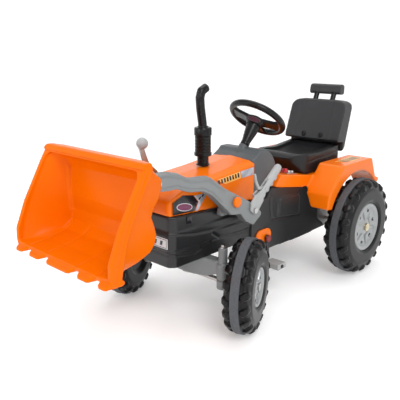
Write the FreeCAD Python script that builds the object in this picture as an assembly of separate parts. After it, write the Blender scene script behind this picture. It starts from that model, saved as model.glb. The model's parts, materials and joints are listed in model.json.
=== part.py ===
import FreeCAD, Part
import math
import os

# Ride-on digger: a pedal tractor for a child, with a front loader.
# Millimetres. +X points to the bucket, +Y to the rider's left, +Z up, and the ground is Z = 0.
# Inside this file X is counted from the rear axle; export moves the model by ORIGIN_X, so
# that the origin is the middle of the footprint.
# The model stands with its front wheels at full left lock and the left pedal down.

# ---- driving dimensions -------------------------------------------------------------------
ORIGIN_X = 425.4          # from the rear axle to the middle of the overall length
WHEELBASE = 606.0
REAR_RADIUS = 160.0
FRONT_RADIUS = 128.0
REAR_HALF_TRACK = 217.0
REAR_HALF_WIDTH = 43.0    # half the width of a rear tyre
FRONT_HALF_WIDTH = 39.0
BAND_HALF_WIDTH = 11.0    # rubber grip band round the middle of each tyre
BAND_DEPTH = 7.0
KINGPIN_Y = 147.0
WHEEL_OFFSET = 67.6       # kingpin to the middle of a front wheel
LOCK = 23.3               # steering lock, degrees; the model stands at the left one
STEER_ARM = 47.5
PITMAN = 40.0
PITMAN_LOCK = math.degrees(math.asin(STEER_ARM / PITMAN * math.sin(math.radians(LOCK))))
COLUMN_TOP = (280.0, 524.0)   # X and Z of the middle of the steering wheel
COLUMN_TILT = 38.2        # lean of the steering column from the vertical, degrees
CRANK_AXIS = (366.0, 182.0)
CRANK_LENGTH = 75.0
LIFT_PIVOT = (552.0, 338.0)   # axis of the loader arms
TILT_PIVOT = (828.0, 436.0)   # axis of the bucket on the arms
LEVER_PIVOT = (592.0, 358.0)
LINK_DROP = (3.0, -22.0)  # from either end pivot of the tilt link to its pin
ARM_INNER = 118.0
ARM_OUTER = 144.0
GRIP_Y = 140.0            # middle of the hand grip
BODY_HALF = 98.0
HOOD_HALF = 88.0
WALL = 4.0                # wall of the blow-moulded shells
THIN_WALL = 3.5           # wall of the bonnet and the cowl
EXHAUST_X = 526.0
COVER_END = 98.0          # where the sleeve under the steering wheel ends, down from the column's top
COVER_RADIUS = 14.0
RUN = 0.05                # radial running clearance of a pivot
AXLE_RADIUS = 6.0
STUB_RADIUS = 5.0
KINGPIN_RADIUS = 8.0
PIVOT_ROD_RADIUS = 7.0
PIN_RADIUS = 4.0
HINGE_RADIUS = 6.0        # hinge pins of the bucket
HITCH_RADIUS = 5.0

V = FreeCAD.Vector
AXIS_X = V(1, 0, 0)
AXIS_Y = V(0, 1, 0)
AXIS_Z = V(0, 0, 1)


# ---- helpers ------------------------------------------------------------------------------
def place(u, v, w, plane):
    """A point of a drawing plane: w is the distance along the plane's normal."""
    if plane == "xz":
        return V(u, w, v)
    if plane == "xy":
        return V(u, v, w)
    return V(w, u, v)


def outline(points, w, plane):
    """Closed wire through the points; a third number in a point rounds that corner."""
    count = len(points)
    corners = []
    for index, point in enumerate(points):
        here = place(point[0], point[1], w, plane)
        radius = point[2] if len(point) > 2 else 0.0
        if radius == 0.0:
            corners.append((here, None, here))
            continue
        before = points[index - 1]
        after = points[(index + 1) % count]
        back = (place(before[0], before[1], w, plane) - here).normalize()
        ahead = (place(after[0], after[1], w, plane) - here).normalize()
        half = back.getAngle(ahead) / 2.0
        middle = (back + ahead).normalize()
        reach = radius / math.tan(half)
        crown = here + middle * (radius / math.sin(half) - radius)
        corners.append((here + back * reach, crown, here + ahead * reach))
    edges = []
    for index, (start, crown, end) in enumerate(corners):
        if crown is not None:
            edges.append(Part.Arc(start, crown, end).toShape())
        following = corners[(index + 1) % count][0]
        if (following - end).Length > 1e-6:
            edges.append(Part.LineSegment(end, following).toShape())
    return Part.Wire(edges)


def plate(points, low, high, plane="xz"):
    """The outline's area between two distances along the plane's normal."""
    face = Part.Face(outline(points, low, plane))
    return face.extrude(place(0, 0, high - low, plane))


def inset(points, wall, low, high, plane="xz"):
    """As plate, with the outline moved inwards by the wall."""
    face = Part.Face(outline(points, low, plane)).makeOffset2D(-wall)
    return face.extrude(place(0, 0, high - low, plane))


def rod_y(x, z, radius, y0, y1):
    return Part.makeCylinder(radius, abs(y1 - y0), V(x, min(y0, y1), z), AXIS_Y)


def rod(start, end, radius):
    run = end - start
    return Part.makeCylinder(radius, run.Length, start, run)


def block(x0, x1, y0, y1, z0, z1):
    return Part.makeBox(x1 - x0, y1 - y0, z1 - z0, V(x0, y0, z0))


def fuse(shapes):
    result = shapes[0].multiFuse(shapes[1:])
    return result.removeSplitter()


def cut(shape, tools):
    for tool in tools:
        shape = shape.cut(tool)
    return shape


def mirror_y(shape):
    return shape.mirror(V(0, 0, 0), AXIS_Y)


def turned(profile):
    """Solid of revolution about the Y axis from (radius, y) points."""
    wire = Part.makePolygon([V(r, y, 0) for r, y in profile] + [V(profile[0][0], profile[0][1], 0)])
    return Part.Face(wire).revolve(V(0, 0, 0), AXIS_Y, 360)


def column_point(distance, x_side=0.0, y_side=0.0):
    """A point in the frame of the steering column; distance runs down from its top."""
    tilt = math.radians(COLUMN_TILT)
    down = V(math.sin(tilt), 0, -math.cos(tilt))
    ahead = V(math.cos(tilt), 0, math.sin(tilt))
    return V(COLUMN_TOP[0], 0, COLUMN_TOP[1]) + down * distance + ahead * x_side + AXIS_Y * y_side


COLUMN_DOWN = (column_point(1.0) - column_point(0.0)).normalize()


def column_rod(radius, start, end, radius_end=None):
    if radius_end is None:
        return Part.makeCylinder(radius, end - start, column_point(start), COLUMN_DOWN)
    return Part.makeCone(radius, radius_end, end - start, column_point(start), COLUMN_DOWN)


def steered(shape, side):
    """Turn a straight-ahead part about the kingpin on that side to the left lock."""
    copy = shape.copy()
    copy.rotate(V(WHEELBASE, side * KINGPIN_Y, 0), AXIS_Z, LOCK)
    return copy


NODES = {}


def keep(name, shape):
    solids = shape.Solids
    NODES[name] = solids[0] if len(solids) == 1 else Part.makeCompound(solids)


# ---- chassis: lower body, bonnet, cowl ----------------------------------------------------
SEAM_FRONT = (735.0, 324.7)   # seam between bonnet and lower body, at the nose
SEAM_REAR = (400.0, 303.0)    # the same seam where the bonnet ends


def seam(x):
    slope = (SEAM_FRONT[1] - SEAM_REAR[1]) / (SEAM_FRONT[0] - SEAM_REAR[0])
    return SEAM_REAR[1] + slope * (x - SEAM_REAR[0])


DECK_TOP = [(297.0, 364.5), (132.0, 336.0)]   # sloping top of the rail in front of the seat
REAR_BODY = [(430, seam(430)), (400, seam(400)), (356, seam(400), 4), (344, 320, 6), (328, 330, 6),
             (180, 304, 20), (-45, 296, 10), (-45, 146, 12), (20, 137, 30), (170, 132, 40),
             (346, 140, 30), (430, 182, 20)]
REAR_BODY_HALF = 104.0
SHELF = [(300, 235, 8), (296, 292, 8), (190, 282, 8), (186, 216, 8)]   # raised panel behind the crank
SHELF_HALF = 110.0
BODY_FLOOR = 188.0        # Z of the front body's underside, then of its two lines of steps
LOW_STEP = 229.0
HIGH_STEP = 281.0
VOID_HALF = 90.0


def nose_band(nose_x, half, low, high):
    """One of the three stacked mouldings of the front body, with rounded nose corners."""
    plan = [(nose_x, half - 14, 10), (nose_x, 14 - half, 10), (nose_x - 16, -half, 10), (405, -half),
            (405, half), (nose_x - 16, half, 10)]
    return plate(plan, low, high, "xy")


def make_lower_body():
    """Hollow lower body: three stacked bands in front, a deeper box behind, and the chain's slot."""
    top_cut = plate([(800, seam(800)), (800, 400), (300, 400), (300, seam(300))], -120, 120)
    upper = nose_band(741, BODY_HALF - 3, HIGH_STEP, 330).cut(top_cut)
    middle = nose_band(748, BODY_HALF, LOW_STEP, HIGH_STEP)
    lower = nose_band(744, BODY_HALF - 2, BODY_FLOOR, LOW_STEP)
    rear = plate(REAR_BODY, -REAR_BODY_HALF, REAR_BODY_HALF)
    shelf = plate(SHELF, -SHELF_HALF, SHELF_HALF)
    body = fuse([upper, middle, lower, rear, shelf])
    floor = BODY_FLOOR + 5
    front_void = plate([(728, floor), (728, seam(728) - WALL), (425, seam(425) - WALL), (425, floor)],
                       4 - VOID_HALF, VOID_HALF - 4)
    rear_void = inset(REAR_BODY, WALL, WALL - REAR_BODY_HALF, REAR_BODY_HALF - WALL)
    void = fuse([front_void, rear_void, block(400, 440, -VOID_HALF, VOID_HALF, BODY_FLOOR + 6, 290)])
    return cut(body, [void,
                      rod_y(CRANK_AXIS[0], CRANK_AXIS[1], CRANK_RADIUS + 1, -120, 120),
                      rod_y(0, REAR_RADIUS, AXLE_RADIUS + RUN, -120, 120),
                      block(-34, 410, CHAIN_Y - 9, CHAIN_Y + 9, 120, 180),
                      column_rod(9.0, 200, 470)])


HOOD_STATIONS = [  # X, half width at the side, side-ridge Z, crown-edge half width, crown-edge Z, crown Z
    (742, 78, 360, 60, 363, 364),
    (736, 85, 366, 64, 370, 371),
    (698, HOOD_HALF, 385, 68, 391, 394),
    (640, HOOD_HALF, 390, 68, 397, 401),
    (540, HOOD_HALF, 397, 68, 405, 410),
    (470, HOOD_HALF, 404, 68, 412, 417),
    (400, HOOD_HALF, 411, 68, 419, 425)]


def hood_loft(shrink, bottom_drop):
    """Solid through the stations, all of it smaller by shrink and reaching lower by bottom_drop."""
    wires = []
    for x, half, ridge, crown_half, crown_edge, crown in HOOD_STATIONS:
        if x == HOOD_STATIONS[0][0]:
            x -= shrink
        bottom = seam(x) + 0.1 - bottom_drop
        side = half - shrink
        edge = crown_half - shrink * 0.5
        points = [(-side, bottom), (-side, ridge - shrink), (-edge, crown_edge - shrink), (0, crown - shrink),
                  (edge, crown_edge - shrink), (side, ridge - shrink), (side, bottom)]
        corners = [V(x, y, z) for y, z in points]
        wires.append(Part.makePolygon(corners + [corners[0]]))
    return Part.makeLoft(wires, True, True)


def make_bonnet():
    shell = hood_loft(0.0, 0.0).cut(hood_loft(THIN_WALL, 10.0))
    return cut(shell, [rod_y(LIFT_PIVOT[0], LIFT_PIVOT[1], PIVOT_ROD_RADIUS + 1, -100, 100),
                       rod(V(EXHAUST_X, 0, 380), V(EXHAUST_X, 0, 440), 6.0)])


COWL = [(399.6, 303.4), (399.6, 415, 6), (372, 430, 6), (361, 441, 8), (326, 441, 12), (300, 418, 30),
        (284, 392, 14), (294, 371, 20), (357, 317, 6), (357, 303.4)]


COWL_HALF = 80.0


def make_cowl():
    """Dashboard moulding with a boss round the column and a seat for the sleeve above it."""
    shell = plate(COWL, -COWL_HALF, COWL_HALF).fuse(column_rod(COVER_RADIUS + 1.5, COVER_END + 1, 130))
    inside = COWL_HALF - THIN_WALL
    void = inset(COWL, THIN_WALL, -inside, inside)
    floor = block(361, 396, -inside, inside, 300, 320)
    sleeve_seat = column_rod(COVER_RADIUS + 1, 70, COVER_END + 0.8)
    return cut(shell, [void, floor, column_rod(9.0, 60, 230), sleeve_seat])


# ---- rear deck with the two fenders -------------------------------------------------------
DECK = [(326, 331.2), (DECK_TOP[0][0], DECK_TOP[0][1], 6), (DECK_TOP[1][0], DECK_TOP[1][1], 10),
        (-100, 336, 8), (-100, 300), (-46, 296.6), (180, 304.6), (300, 325.4)]
DECK_HALF = 112.0
FENDER = [(173, 243, 6), (167, 288, 10), (88, 371, 12), (-106, 371, 10), (-140, 303, 8), (-168, 291, 2),
          (-166, 284, 2), (-120, 250), (0, 200), (120, 220), (150, 240)]
FENDER_BORE = 173.0       # radius of the wheel arch; its centre is behind and above the axle
ARCH_CENTRE = (-12.0, 166.0)
FENDER_WIDTH = 91.0
FENDER_UNDERCUT = [(100, 230), (112, 230), (140, 242), (112, 302), (100, 302)]   # Y and Z


def fender_face(y):
    circle = Part.makeCircle(FENDER_BORE, V(ARCH_CENTRE[0], y, ARCH_CENTRE[1]), AXIS_Y)
    opening = Part.Face(Part.Wire([circle]))
    face = Part.Face(outline(FENDER, y, "xz")).cut(opening)
    return max(face.Faces, key=lambda item: item.Area)


def make_rear_deck():
    """Deck under the seat with a fender over each rear wheel, in one hollow moulding."""
    centre = plate(DECK, -DECK_HALF, DECK_HALF)
    face = fender_face(DECK_HALF)
    left = face.extrude(V(0, FENDER_WIDTH, 0)).cut(plate(FENDER_UNDERCUT, 100, 300, "yz"))
    solid = fuse([centre, left, mirror_y(left)])
    left_void = face.makeOffset2D(-WALL).extrude(V(0, FENDER_WIDTH - 2 * WALL, 0))
    left_void.translate(V(0, WALL, 0))
    void = inset(DECK, WALL, WALL - DECK_HALF, DECK_HALF - WALL)
    return cut(solid, [void, left_void, mirror_y(left_void)])


# ---- seat ---------------------------------------------------------------------------------
SEAT_BASE = [(150, 340.4, 8), (179, 388, 12), (160, 405, 16), (60, 399, 60), (-40, 409, 20), (-69, 413, 6),
             (-69, 336.2, 6), (132, 336.6, 20)]
SEAT_BACK = [(-31, 420, 8), (-81, 559, 14), (-125, 554, 14), (-80, 385, 5), (-69.2, 385, 3), (-69.2, 418)]
SEAT_HALF = 98.0
BACK_HALF = 107.0
RECLINE = math.degrees(math.atan2(47, 130))
POST_FOOT = V(-101, 34, 540)
POST_HEAD = V(-123, 34, 590)
POST_RADIUS = 9.0
HEADREST_HALF = 61.0
STRAP_Y = 79.0            # middle of the strap at the front of the seat


def make_seat_base():
    """Hollow seat moulding with rounded corners and a shallow dish in its top."""
    plan = [(180, -50, 70), (180, 50, 70), (146, SEAT_HALF, 42), (-69, SEAT_HALF, 16), (-69, -SEAT_HALF, 16),
            (146, -SEAT_HALF, 42)]
    solid = plate(SEAT_BASE, -SEAT_HALF, SEAT_HALF).common(plate(plan, 330, 420, "xy"))
    dish = plate([(146, 420), (146, 396, 20), (60, 388, 60), (-40, 400, 20), (-66, 420)], -74, 74)
    low_line = [(146, 350), (160, 382), (60, 379, 60), (-64, 391), (-64, 341), (132, 341)]
    void = inset(plan, WALL + 1, 330, 420, "xy").common(plate(low_line, -SEAT_HALF, SEAT_HALF))
    return cut(solid, [dish, void])


def make_seat_back():
    """Hollow reclined backrest with a crowned top, bored for the headrest posts and screws."""
    face_plan = [(-BACK_HALF, 380, 20), (-BACK_HALF, 551, 26), (-50, 560, 80), (50, 560, 80),
                 (BACK_HALF, 551, 26), (BACK_HALF, 380, 20)]
    solid = plate(SEAT_BACK, -BACK_HALF, BACK_HALF).common(plate(face_plan, -140, -20, "yz"))
    void_plan = plate([(-100, 396, 16), (-100, 540, 20), (100, 540, 20), (100, 396, 16)], -140, -20, "yz")
    void = inset(SEAT_BACK, WALL, -BACK_HALF + 6, BACK_HALF - 6).common(void_plan)
    return cut(solid, [void, make_posts(), make_seat_screws()])


def make_posts():
    left = rod(POST_FOOT, POST_HEAD, POST_RADIUS)
    return Part.makeCompound([left, mirror_y(left)])


def make_seat_screws():
    """Two large flat-headed screws low on the backrest, square to its front face."""
    normal = V(math.cos(math.radians(RECLINE)), 0, math.sin(math.radians(RECLINE)))
    heads = []
    for side in (-1, 1):
        foot = V(-38.5, side * 34, 438) - normal * 3.0
        heads.append(Part.makeCylinder(8.0, 4.5, foot, normal))
    return Part.makeCompound(heads)


def make_headrest():
    profile = [(-106, 574, 10), (-112, 607, 12), (-143, 609, 12), (-141, 572, 8)]
    half = HEADREST_HALF
    plan = [(-half, 565, 9), (-half, 615, 10), (half, 615, 10), (half, 565, 9)]
    solid = plate(profile, -half, half).common(plate(plan, -150, -100, "yz"))
    return cut(solid, [inset(profile, WALL, 5 - half, half - 5), make_posts()])


def deck_top(x):
    (x1, z1), (x0, z0) = DECK_TOP
    return z0 + (z1 - z0) * (x - x0) / (x1 - x0)


def make_seat_fixings():
    """Strap at the front of the seat with its clamp knob and bolts, and the backrest's screws."""
    strap = plate([(186, deck_top(186) + 0.2), (246, deck_top(246) + 0.2), (246, deck_top(246) + 3.2),
                   (186, deck_top(186) + 3.2)], STRAP_Y - 17, STRAP_Y + 17)
    knob = Part.makeCylinder(9, 12, V(236, STRAP_Y, deck_top(246) + 3.3), AXIS_Z)
    bolts = [Part.makeCylinder(5.5, 6, V(x, STRAP_Y, deck_top(x) + 3.9), AXIS_Z) for x in (196, 214)]
    return Part.makeCompound([strap, knob] + bolts + make_seat_screws().Solids)


# ---- exhaust ------------------------------------------------------------------------------
PIPE_RADIUS = 12.3
PIPE = [V(EXHAUST_X, 0, 500), V(528, 0, 530), V(536, 0, 575), V(538, 0, 602), V(532, 0, 619), V(513, 0, 628)]
MUFFLER_RADIUS = 23.0


def make_muffler():
    """Foot, neck, collar and drum, one above the other, with a tapered top round the pipe."""
    rings = [(19, 414.5, 418), (16, 418, 441), (MUFFLER_RADIUS + 1.5, 441, 453), (MUFFLER_RADIUS, 453, 515)]
    shapes = [Part.makeCylinder(r, z1 - z0, V(EXHAUST_X, 0, z0), AXIS_Z) for r, z0, z1 in rings]
    shapes.append(Part.makeCone(MUFFLER_RADIUS, 15, 9, V(EXHAUST_X, 0, 515), AXIS_Z))
    return cut(fuse(shapes), [Part.makeCylinder(PIPE_RADIUS, 40, PIPE[0], AXIS_Z),
                              rod(PIPE[0], PIPE[1], PIPE_RADIUS)])


def make_pipe():
    """Stack pipe: straight runs with ball joints between them and a slanted, bored tip."""
    shapes = []
    for start, end in zip(PIPE, PIPE[1:]):
        shapes.append(rod(start, end, PIPE_RADIUS))
    for point in PIPE[1:-1]:
        shapes.append(Part.makeSphere(PIPE_RADIUS, point))
    mouth = (PIPE[-1] - PIPE[-2]).normalize()
    return fuse(shapes).cut(rod(PIPE[-1] - mouth * 8, PIPE[-1] + mouth * 20, 8.0))


# ---- front axle and steering --------------------------------------------------------------
BOSS_RADIUS = 16.5        # kingpin boss of the beam, and the knuckle's foot below it


def make_axle_beam():
    """Arched cross beam with a vertical bored boss for the kingpin at each end."""
    beam = plate([(-134, 150, 8), (-134, 187.5), (134, 187.5), (134, 150, 8), (100, 134, 20), (40, 125, 60),
                  (-40, 125, 60), (-100, 134, 20)], 592, 620, "yz")
    bosses = []
    for side in (-1, 1):
        bosses.append(Part.makeCylinder(BOSS_RADIUS, 45, V(WHEELBASE, side * KINGPIN_Y, 135), AXIS_Z))
        bosses.append(Part.makeCylinder(12.5, 46, V(WHEELBASE, side * KINGPIN_Y, 180), AXIS_Z))
    bores = [Part.makeCylinder(KINGPIN_RADIUS + RUN, 120, V(WHEELBASE, side * KINGPIN_Y, 120), AXIS_Z)
             for side in (-1, 1)]
    return cut(fuse([beam] + bosses), bores)


def make_knuckle(side):
    """Steering knuckle: foot, kingpin post, and the arm that the tie rod turns."""
    foot = Part.makeCylinder(BOSS_RADIUS, 26, V(WHEELBASE, side * KINGPIN_Y, 108.9), AXIS_Z)
    post = Part.makeCylinder(KINGPIN_RADIUS, 90, V(WHEELBASE, side * KINGPIN_Y, 134), AXIS_Z)
    arm_x = WHEELBASE - STEER_ARM
    arm = fuse([block(arm_x, WHEELBASE, side * KINGPIN_Y - 8, side * KINGPIN_Y + 8, 109, 117),
                Part.makeCylinder(9, 8, V(arm_x, side * KINGPIN_Y, 109), AXIS_Z)])
    ear = rod_y(WHEELBASE, FRONT_RADIUS, 6.9, side * (KINGPIN_Y + 10), side * (KINGPIN_Y + 22))
    knuckle = fuse([foot, post, arm, ear])
    hole = Part.makeCylinder(PIN_RADIUS + RUN, 20, V(arm_x, side * KINGPIN_Y, 100), AXIS_Z)
    stub = rod_y(WHEELBASE, FRONT_RADIUS, STUB_RADIUS, side * (KINGPIN_Y - 14), side * (KINGPIN_Y + 40))
    screw = Part.makeCylinder(PIN_RADIUS + RUN, 30, V(WHEELBASE, side * KINGPIN_Y, 209.5), AXIS_Z)
    return steered(cut(knuckle, [hole, stub, screw]), side)


def make_stub_axle(side):
    """Steel stub that carries a front wheel, with its retaining head outside the hubcap."""
    inner = side * (KINGPIN_Y - 14)
    outer = side * (KINGPIN_Y + WHEEL_OFFSET + 29)
    stub = rod_y(WHEELBASE, FRONT_RADIUS, STUB_RADIUS, inner, outer)
    head = rod_y(WHEELBASE, FRONT_RADIUS, 10, outer, outer + side * 6)
    return steered(fuse([stub, head]), side)


HEX_REACH = 6.5           # from the middle of the bolt head to a corner


def make_kingpin_bolt(side):
    """Hexagon bolt and washer on top of the axle beam that hold one kingpin up."""
    y = side * KINGPIN_Y
    shank = Part.makeCylinder(PIN_RADIUS, 16.2, V(WHEELBASE, y, 210), AXIS_Z)
    washer = Part.makeCylinder(11, 2, V(WHEELBASE, y, 226.1), AXIS_Z)
    turns = [index * math.pi / 3 for index in range(6)]
    corners = [(WHEELBASE + HEX_REACH * math.cos(turn), y + HEX_REACH * math.sin(turn)) for turn in turns]
    head = plate(corners, 228.1, 233, "xy")
    return fuse([shank, washer, head])


def make_tie_rod():
    """Cross rod with a pin up into each steering arm and a slotted plate for the pitman."""
    x = WHEELBASE - STEER_ARM
    pins = [Part.makeCylinder(PIN_RADIUS, 18, V(x, side * KINGPIN_Y, 100), AXIS_Z) for side in (-1, 1)]
    bar = block(x - 7, x + 7, -KINGPIN_Y, KINGPIN_Y, 100, 108)
    ends = [Part.makeCylinder(8.5, 8, V(x, side * KINGPIN_Y, 100), AXIS_Z) for side in (-1, 1)]
    eye = plate([(x - 20, -14, 8), (x + 20, -14, 8), (x + 20, 14, 8), (x - 20, 14, 8)], 102, 108, "xy")
    slot = plate([(x - 12, -5.6, 5.5), (x + 13, -5.6, 5.5), (x + 13, 5.6, 5.5), (x - 12, 5.6, 5.5)],
                 90, 120, "xy")
    rod_shape = cut(fuse([bar] + ends + pins + [eye]), [slot])
    shift = math.radians(LOCK)
    rod_shape.translate(V(STEER_ARM * (1 - math.cos(shift)), -STEER_ARM * math.sin(shift), 0))
    return rod_shape


WEB_AT = 488.5            # where the pitman web leaves the column, down from its top
COLUMN_RADIUS = 6.0


def make_steering_shaft():
    """Bent steel shaft: the column, the pitman web and the pin that works the tie rod."""
    column = column_rod(COLUMN_RADIUS, 16, WEB_AT + COLUMN_RADIUS)
    web_end = column_point(WEB_AT, -PITMAN)
    web = rod(column_point(WEB_AT), web_end, COLUMN_RADIUS)
    knee = Part.makeSphere(COLUMN_RADIUS, web_end)
    pin = rod(web_end, web_end + COLUMN_DOWN * 20, PIN_RADIUS)
    shaft = fuse([column, web, knee, pin])
    shaft.rotate(column_point(0), COLUMN_DOWN, -PITMAN_LOCK)
    return shaft


RIM_RADIUS = 82.5
RIM_TUBE = 10.0
HORN_RADIUS = 19.0
SPOKE_TURNS = (-94.0, 94.0, 180.0)   # degrees from straight ahead: both sides and the rear


def to_column(shape):
    """Move a shape made about the Z axis at the origin onto the top of the column."""
    copy = shape.copy()
    copy.rotate(V(0, 0, 0), AXIS_Y, -COLUMN_TILT)
    copy.translate(column_point(0))
    return copy


def make_steering_wheel():
    """Round rim on three broad flared spokes that dip to a hub bored for the horn and column."""
    rim = Part.makeTorus(RIM_RADIUS, RIM_TUBE)
    hub = fuse([Part.makeCone(23, 33, 15, V(0, 0, -28), AXIS_Z),
                Part.makeCylinder(33, 6, V(0, 0, -14), AXIS_Z)])
    spokes = []
    for turn in SPOKE_TURNS:
        spoke = plate([(0, -22), (56, -20, 30), (88, -32), (88, 32), (56, 20, 30), (0, 22)], -5, 5, "xy")
        spoke = spoke.common(Part.makeCylinder(RIM_RADIUS, 20, V(0, 0, -10), AXIS_Z))
        spoke.rotate(V(0, 0, 0), AXIS_Y, -9)
        spoke.translate(V(0, 0, -13))
        spoke.rotate(V(0, 0, 0), AXIS_Z, turn)
        spokes.append(spoke)
    wheel = fuse([rim, hub] + spokes)
    socket = Part.makeCylinder(COLUMN_RADIUS, 24, V(0, 0, -40), AXIS_Z)
    recess = Part.makeCylinder(HORN_RADIUS + 0.3, 14, V(0, 0, -14), AXIS_Z)
    wheel = cut(wheel, [socket, recess])
    wheel.rotate(V(0, 0, 0), AXIS_Z, PITMAN_LOCK)
    return to_column(wheel)


def make_column_cover():
    """Tapered sleeve below the steering wheel; it turns with the wheel."""
    collar = COVER_END - 10
    taper = column_rod(23.0, 28.2, collar, COVER_RADIUS - 1)
    outer = fuse([taper, column_rod(COVER_RADIUS, collar, COVER_END)])
    return outer.cut(column_rod(COLUMN_RADIUS, 20, 110))


def make_horn_button():
    """Round horn button with a domed face, sliding in the hub's recess."""
    disc = Part.makeCylinder(HORN_RADIUS, 10, V(0, 0, -10.5), AXIS_Z)
    cap = Part.makeCylinder(HORN_RADIUS, 4, V(0, 0, -3.5), AXIS_Z)
    dome = Part.makeSphere(60, V(0, 0, -60.5)).common(cap)
    return to_column(fuse([disc, dome]))


# ---- wheels -------------------------------------------------------------------------------
def tyre_profile(radius, half, hub_radius, cap_depth, bore):
    """(radius, y) outline of a moulded tyre and disc; y grows to the outside of the vehicle."""
    groove = radius - BAND_DEPTH
    tread = radius - 11
    return [(bore, -half + 12), (bore, half - cap_depth), (hub_radius, half - cap_depth),
            (hub_radius, half - 6), (hub_radius + 10, half - 1), (tread - 26, half - 1),
            (tread - 6, half - 9), (tread, half - 16), (tread, BAND_HALF_WIDTH + 4),
            (groove, BAND_HALF_WIDTH + 0.5),
            (groove, -BAND_HALF_WIDTH - 0.5), (tread, -BAND_HALF_WIDTH - 4), (tread, -half + 16),
            (tread - 6, -half + 9), (tread - 26, -half + 1), (hub_radius + 10, -half + 1),
            (hub_radius - 6, -half + 12)]


def tyre_void(radius, half, hub_radius, cap_depth):
    inner = half - cap_depth - 4
    return [(20, -half + 17), (20, inner), (hub_radius + 4, inner), (hub_radius + 12, half - 6),
            (radius - 40, half - 6), (radius - 17, half - 18), (radius - 17, -half + 18),
            (radius - 40, -half + 6), (hub_radius + 12, -half + 6), (hub_radius - 4, -half + 17)]


def make_lug(radius, half):
    """One slanted tread bar from beside the grip band to the shoulder."""
    bar = block(-9, 9, BAND_HALF_WIDTH + 2, half - 1, radius - 34, radius)
    bar.rotate(V(0, (half + BAND_HALF_WIDTH) / 2, radius), AXIS_Z, 28)
    return bar


def make_tyre(radius, half, hub_radius, cap_depth, bore, lugs):
    body = turned(tyre_profile(radius, half, hub_radius, cap_depth, bore))
    crown = radius - 3.5
    envelope = turned([(radius - 30, BAND_HALF_WIDTH + 1.5), (crown - 3, BAND_HALF_WIDTH + 1.5),
                       (crown, BAND_HALF_WIDTH + 5), (crown, half - 15), (crown - 7, half - 5),
                       (radius - 24, half)])
    bars = []
    for index in range(lugs):
        bar = make_lug(radius, half)
        bar.rotate(V(0, 0, 0), AXIS_Y, 360.0 / lugs * index)
        bars.append(bar)
    outer = Part.makeCompound(bars).common(envelope)
    inner = mirror_y(outer)
    inner.rotate(V(0, 0, 0), AXIS_Y, 180.0 / lugs)
    tyre = body.multiFuse(outer.Solids + inner.Solids)
    return tyre.cut(turned(tyre_void(radius, half, hub_radius, cap_depth)))


def make_band(radius):
    ring = turned([(radius - BAND_DEPTH, -BAND_HALF_WIDTH), (radius - 1, -BAND_HALF_WIDTH),
                   (radius, -BAND_HALF_WIDTH + 1), (radius, BAND_HALF_WIDTH - 1),
                   (radius - 1, BAND_HALF_WIDTH), (radius - BAND_DEPTH, BAND_HALF_WIDTH)])
    return ring


def make_hubcap(radius, floor, face, bore):
    """Dished wheel trim with a lip, a ring of holes and a centre boss."""
    disc = turned([(bore, floor), (bore, floor + 6), (radius * 0.30, floor + 6), (radius * 0.36, floor + 3),
                   (radius * 0.78, floor + 3), (radius * 0.86, face - 2), (radius - 3, face),
                   (radius - 0.2, face - 3), (radius - 0.2, floor)])
    holes = []
    for index in range(6):
        hole = rod_y(0, radius * 0.68, radius * 0.065, floor - 5, face + 5)
        hole.rotate(V(0, 0, 0), AXIS_Y, 60 * index)
        holes.append(hole)
    return cut(disc, holes)


def at_rear(shape, side):
    copy = shape if side > 0 else mirror_y(shape)
    copy = copy.copy()
    copy.translate(V(0, side * REAR_HALF_TRACK, REAR_RADIUS))
    return copy


def at_front(shape, side):
    copy = shape if side > 0 else mirror_y(shape)
    copy = copy.copy()
    copy.translate(V(WHEELBASE, side * (KINGPIN_Y + WHEEL_OFFSET), FRONT_RADIUS))
    return steered(copy, side)


REAR_HUB = 81.0
FRONT_HUB = 55.0
REAR_CAP_DEPTH = 17.0     # depth of the seat for the trim, from the widest point of the tyre
FRONT_CAP_DEPTH = 16.0


def make_wheels():
    rear_floor = REAR_HALF_WIDTH - REAR_CAP_DEPTH
    front_floor = FRONT_HALF_WIDTH - FRONT_CAP_DEPTH
    front_tyre = make_tyre(FRONT_RADIUS, FRONT_HALF_WIDTH, FRONT_HUB, FRONT_CAP_DEPTH, STUB_RADIUS + RUN, 18)
    front_trim = make_hubcap(FRONT_HUB, front_floor, FRONT_HALF_WIDTH - 5, STUB_RADIUS + 1)
    for side, name in ((1, "left"), (-1, "right")):
        keep("front_tyre_" + name, at_front(front_tyre, side))
        keep("front_grip_band_" + name, at_front(make_band(FRONT_RADIUS), side))
        keep("front_hubcap_" + name, at_front(front_trim, side))
        bore = AXLE_RADIUS if side > 0 else AXLE_RADIUS + RUN
        rear_tyre = make_tyre(REAR_RADIUS, REAR_HALF_WIDTH, REAR_HUB, REAR_CAP_DEPTH, bore, 20)
        keep("rear_tyre_" + name, at_rear(rear_tyre, side))
        keep("rear_grip_band_" + name, at_rear(make_band(REAR_RADIUS), side))
        trim = make_hubcap(REAR_HUB, rear_floor, REAR_HALF_WIDTH - 5, AXLE_RADIUS + 1)
        keep("rear_hubcap_" + name, at_rear(trim, side))


# ---- drive --------------------------------------------------------------------------------
CHAIN_Y = 60.0
CHAIN_PITCH = 9.0
CRANK_TEETH = 22
AXLE_TEETH = 16


def pitch_radius(teeth):
    return CHAIN_PITCH / 2 / math.sin(math.pi / teeth)


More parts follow.
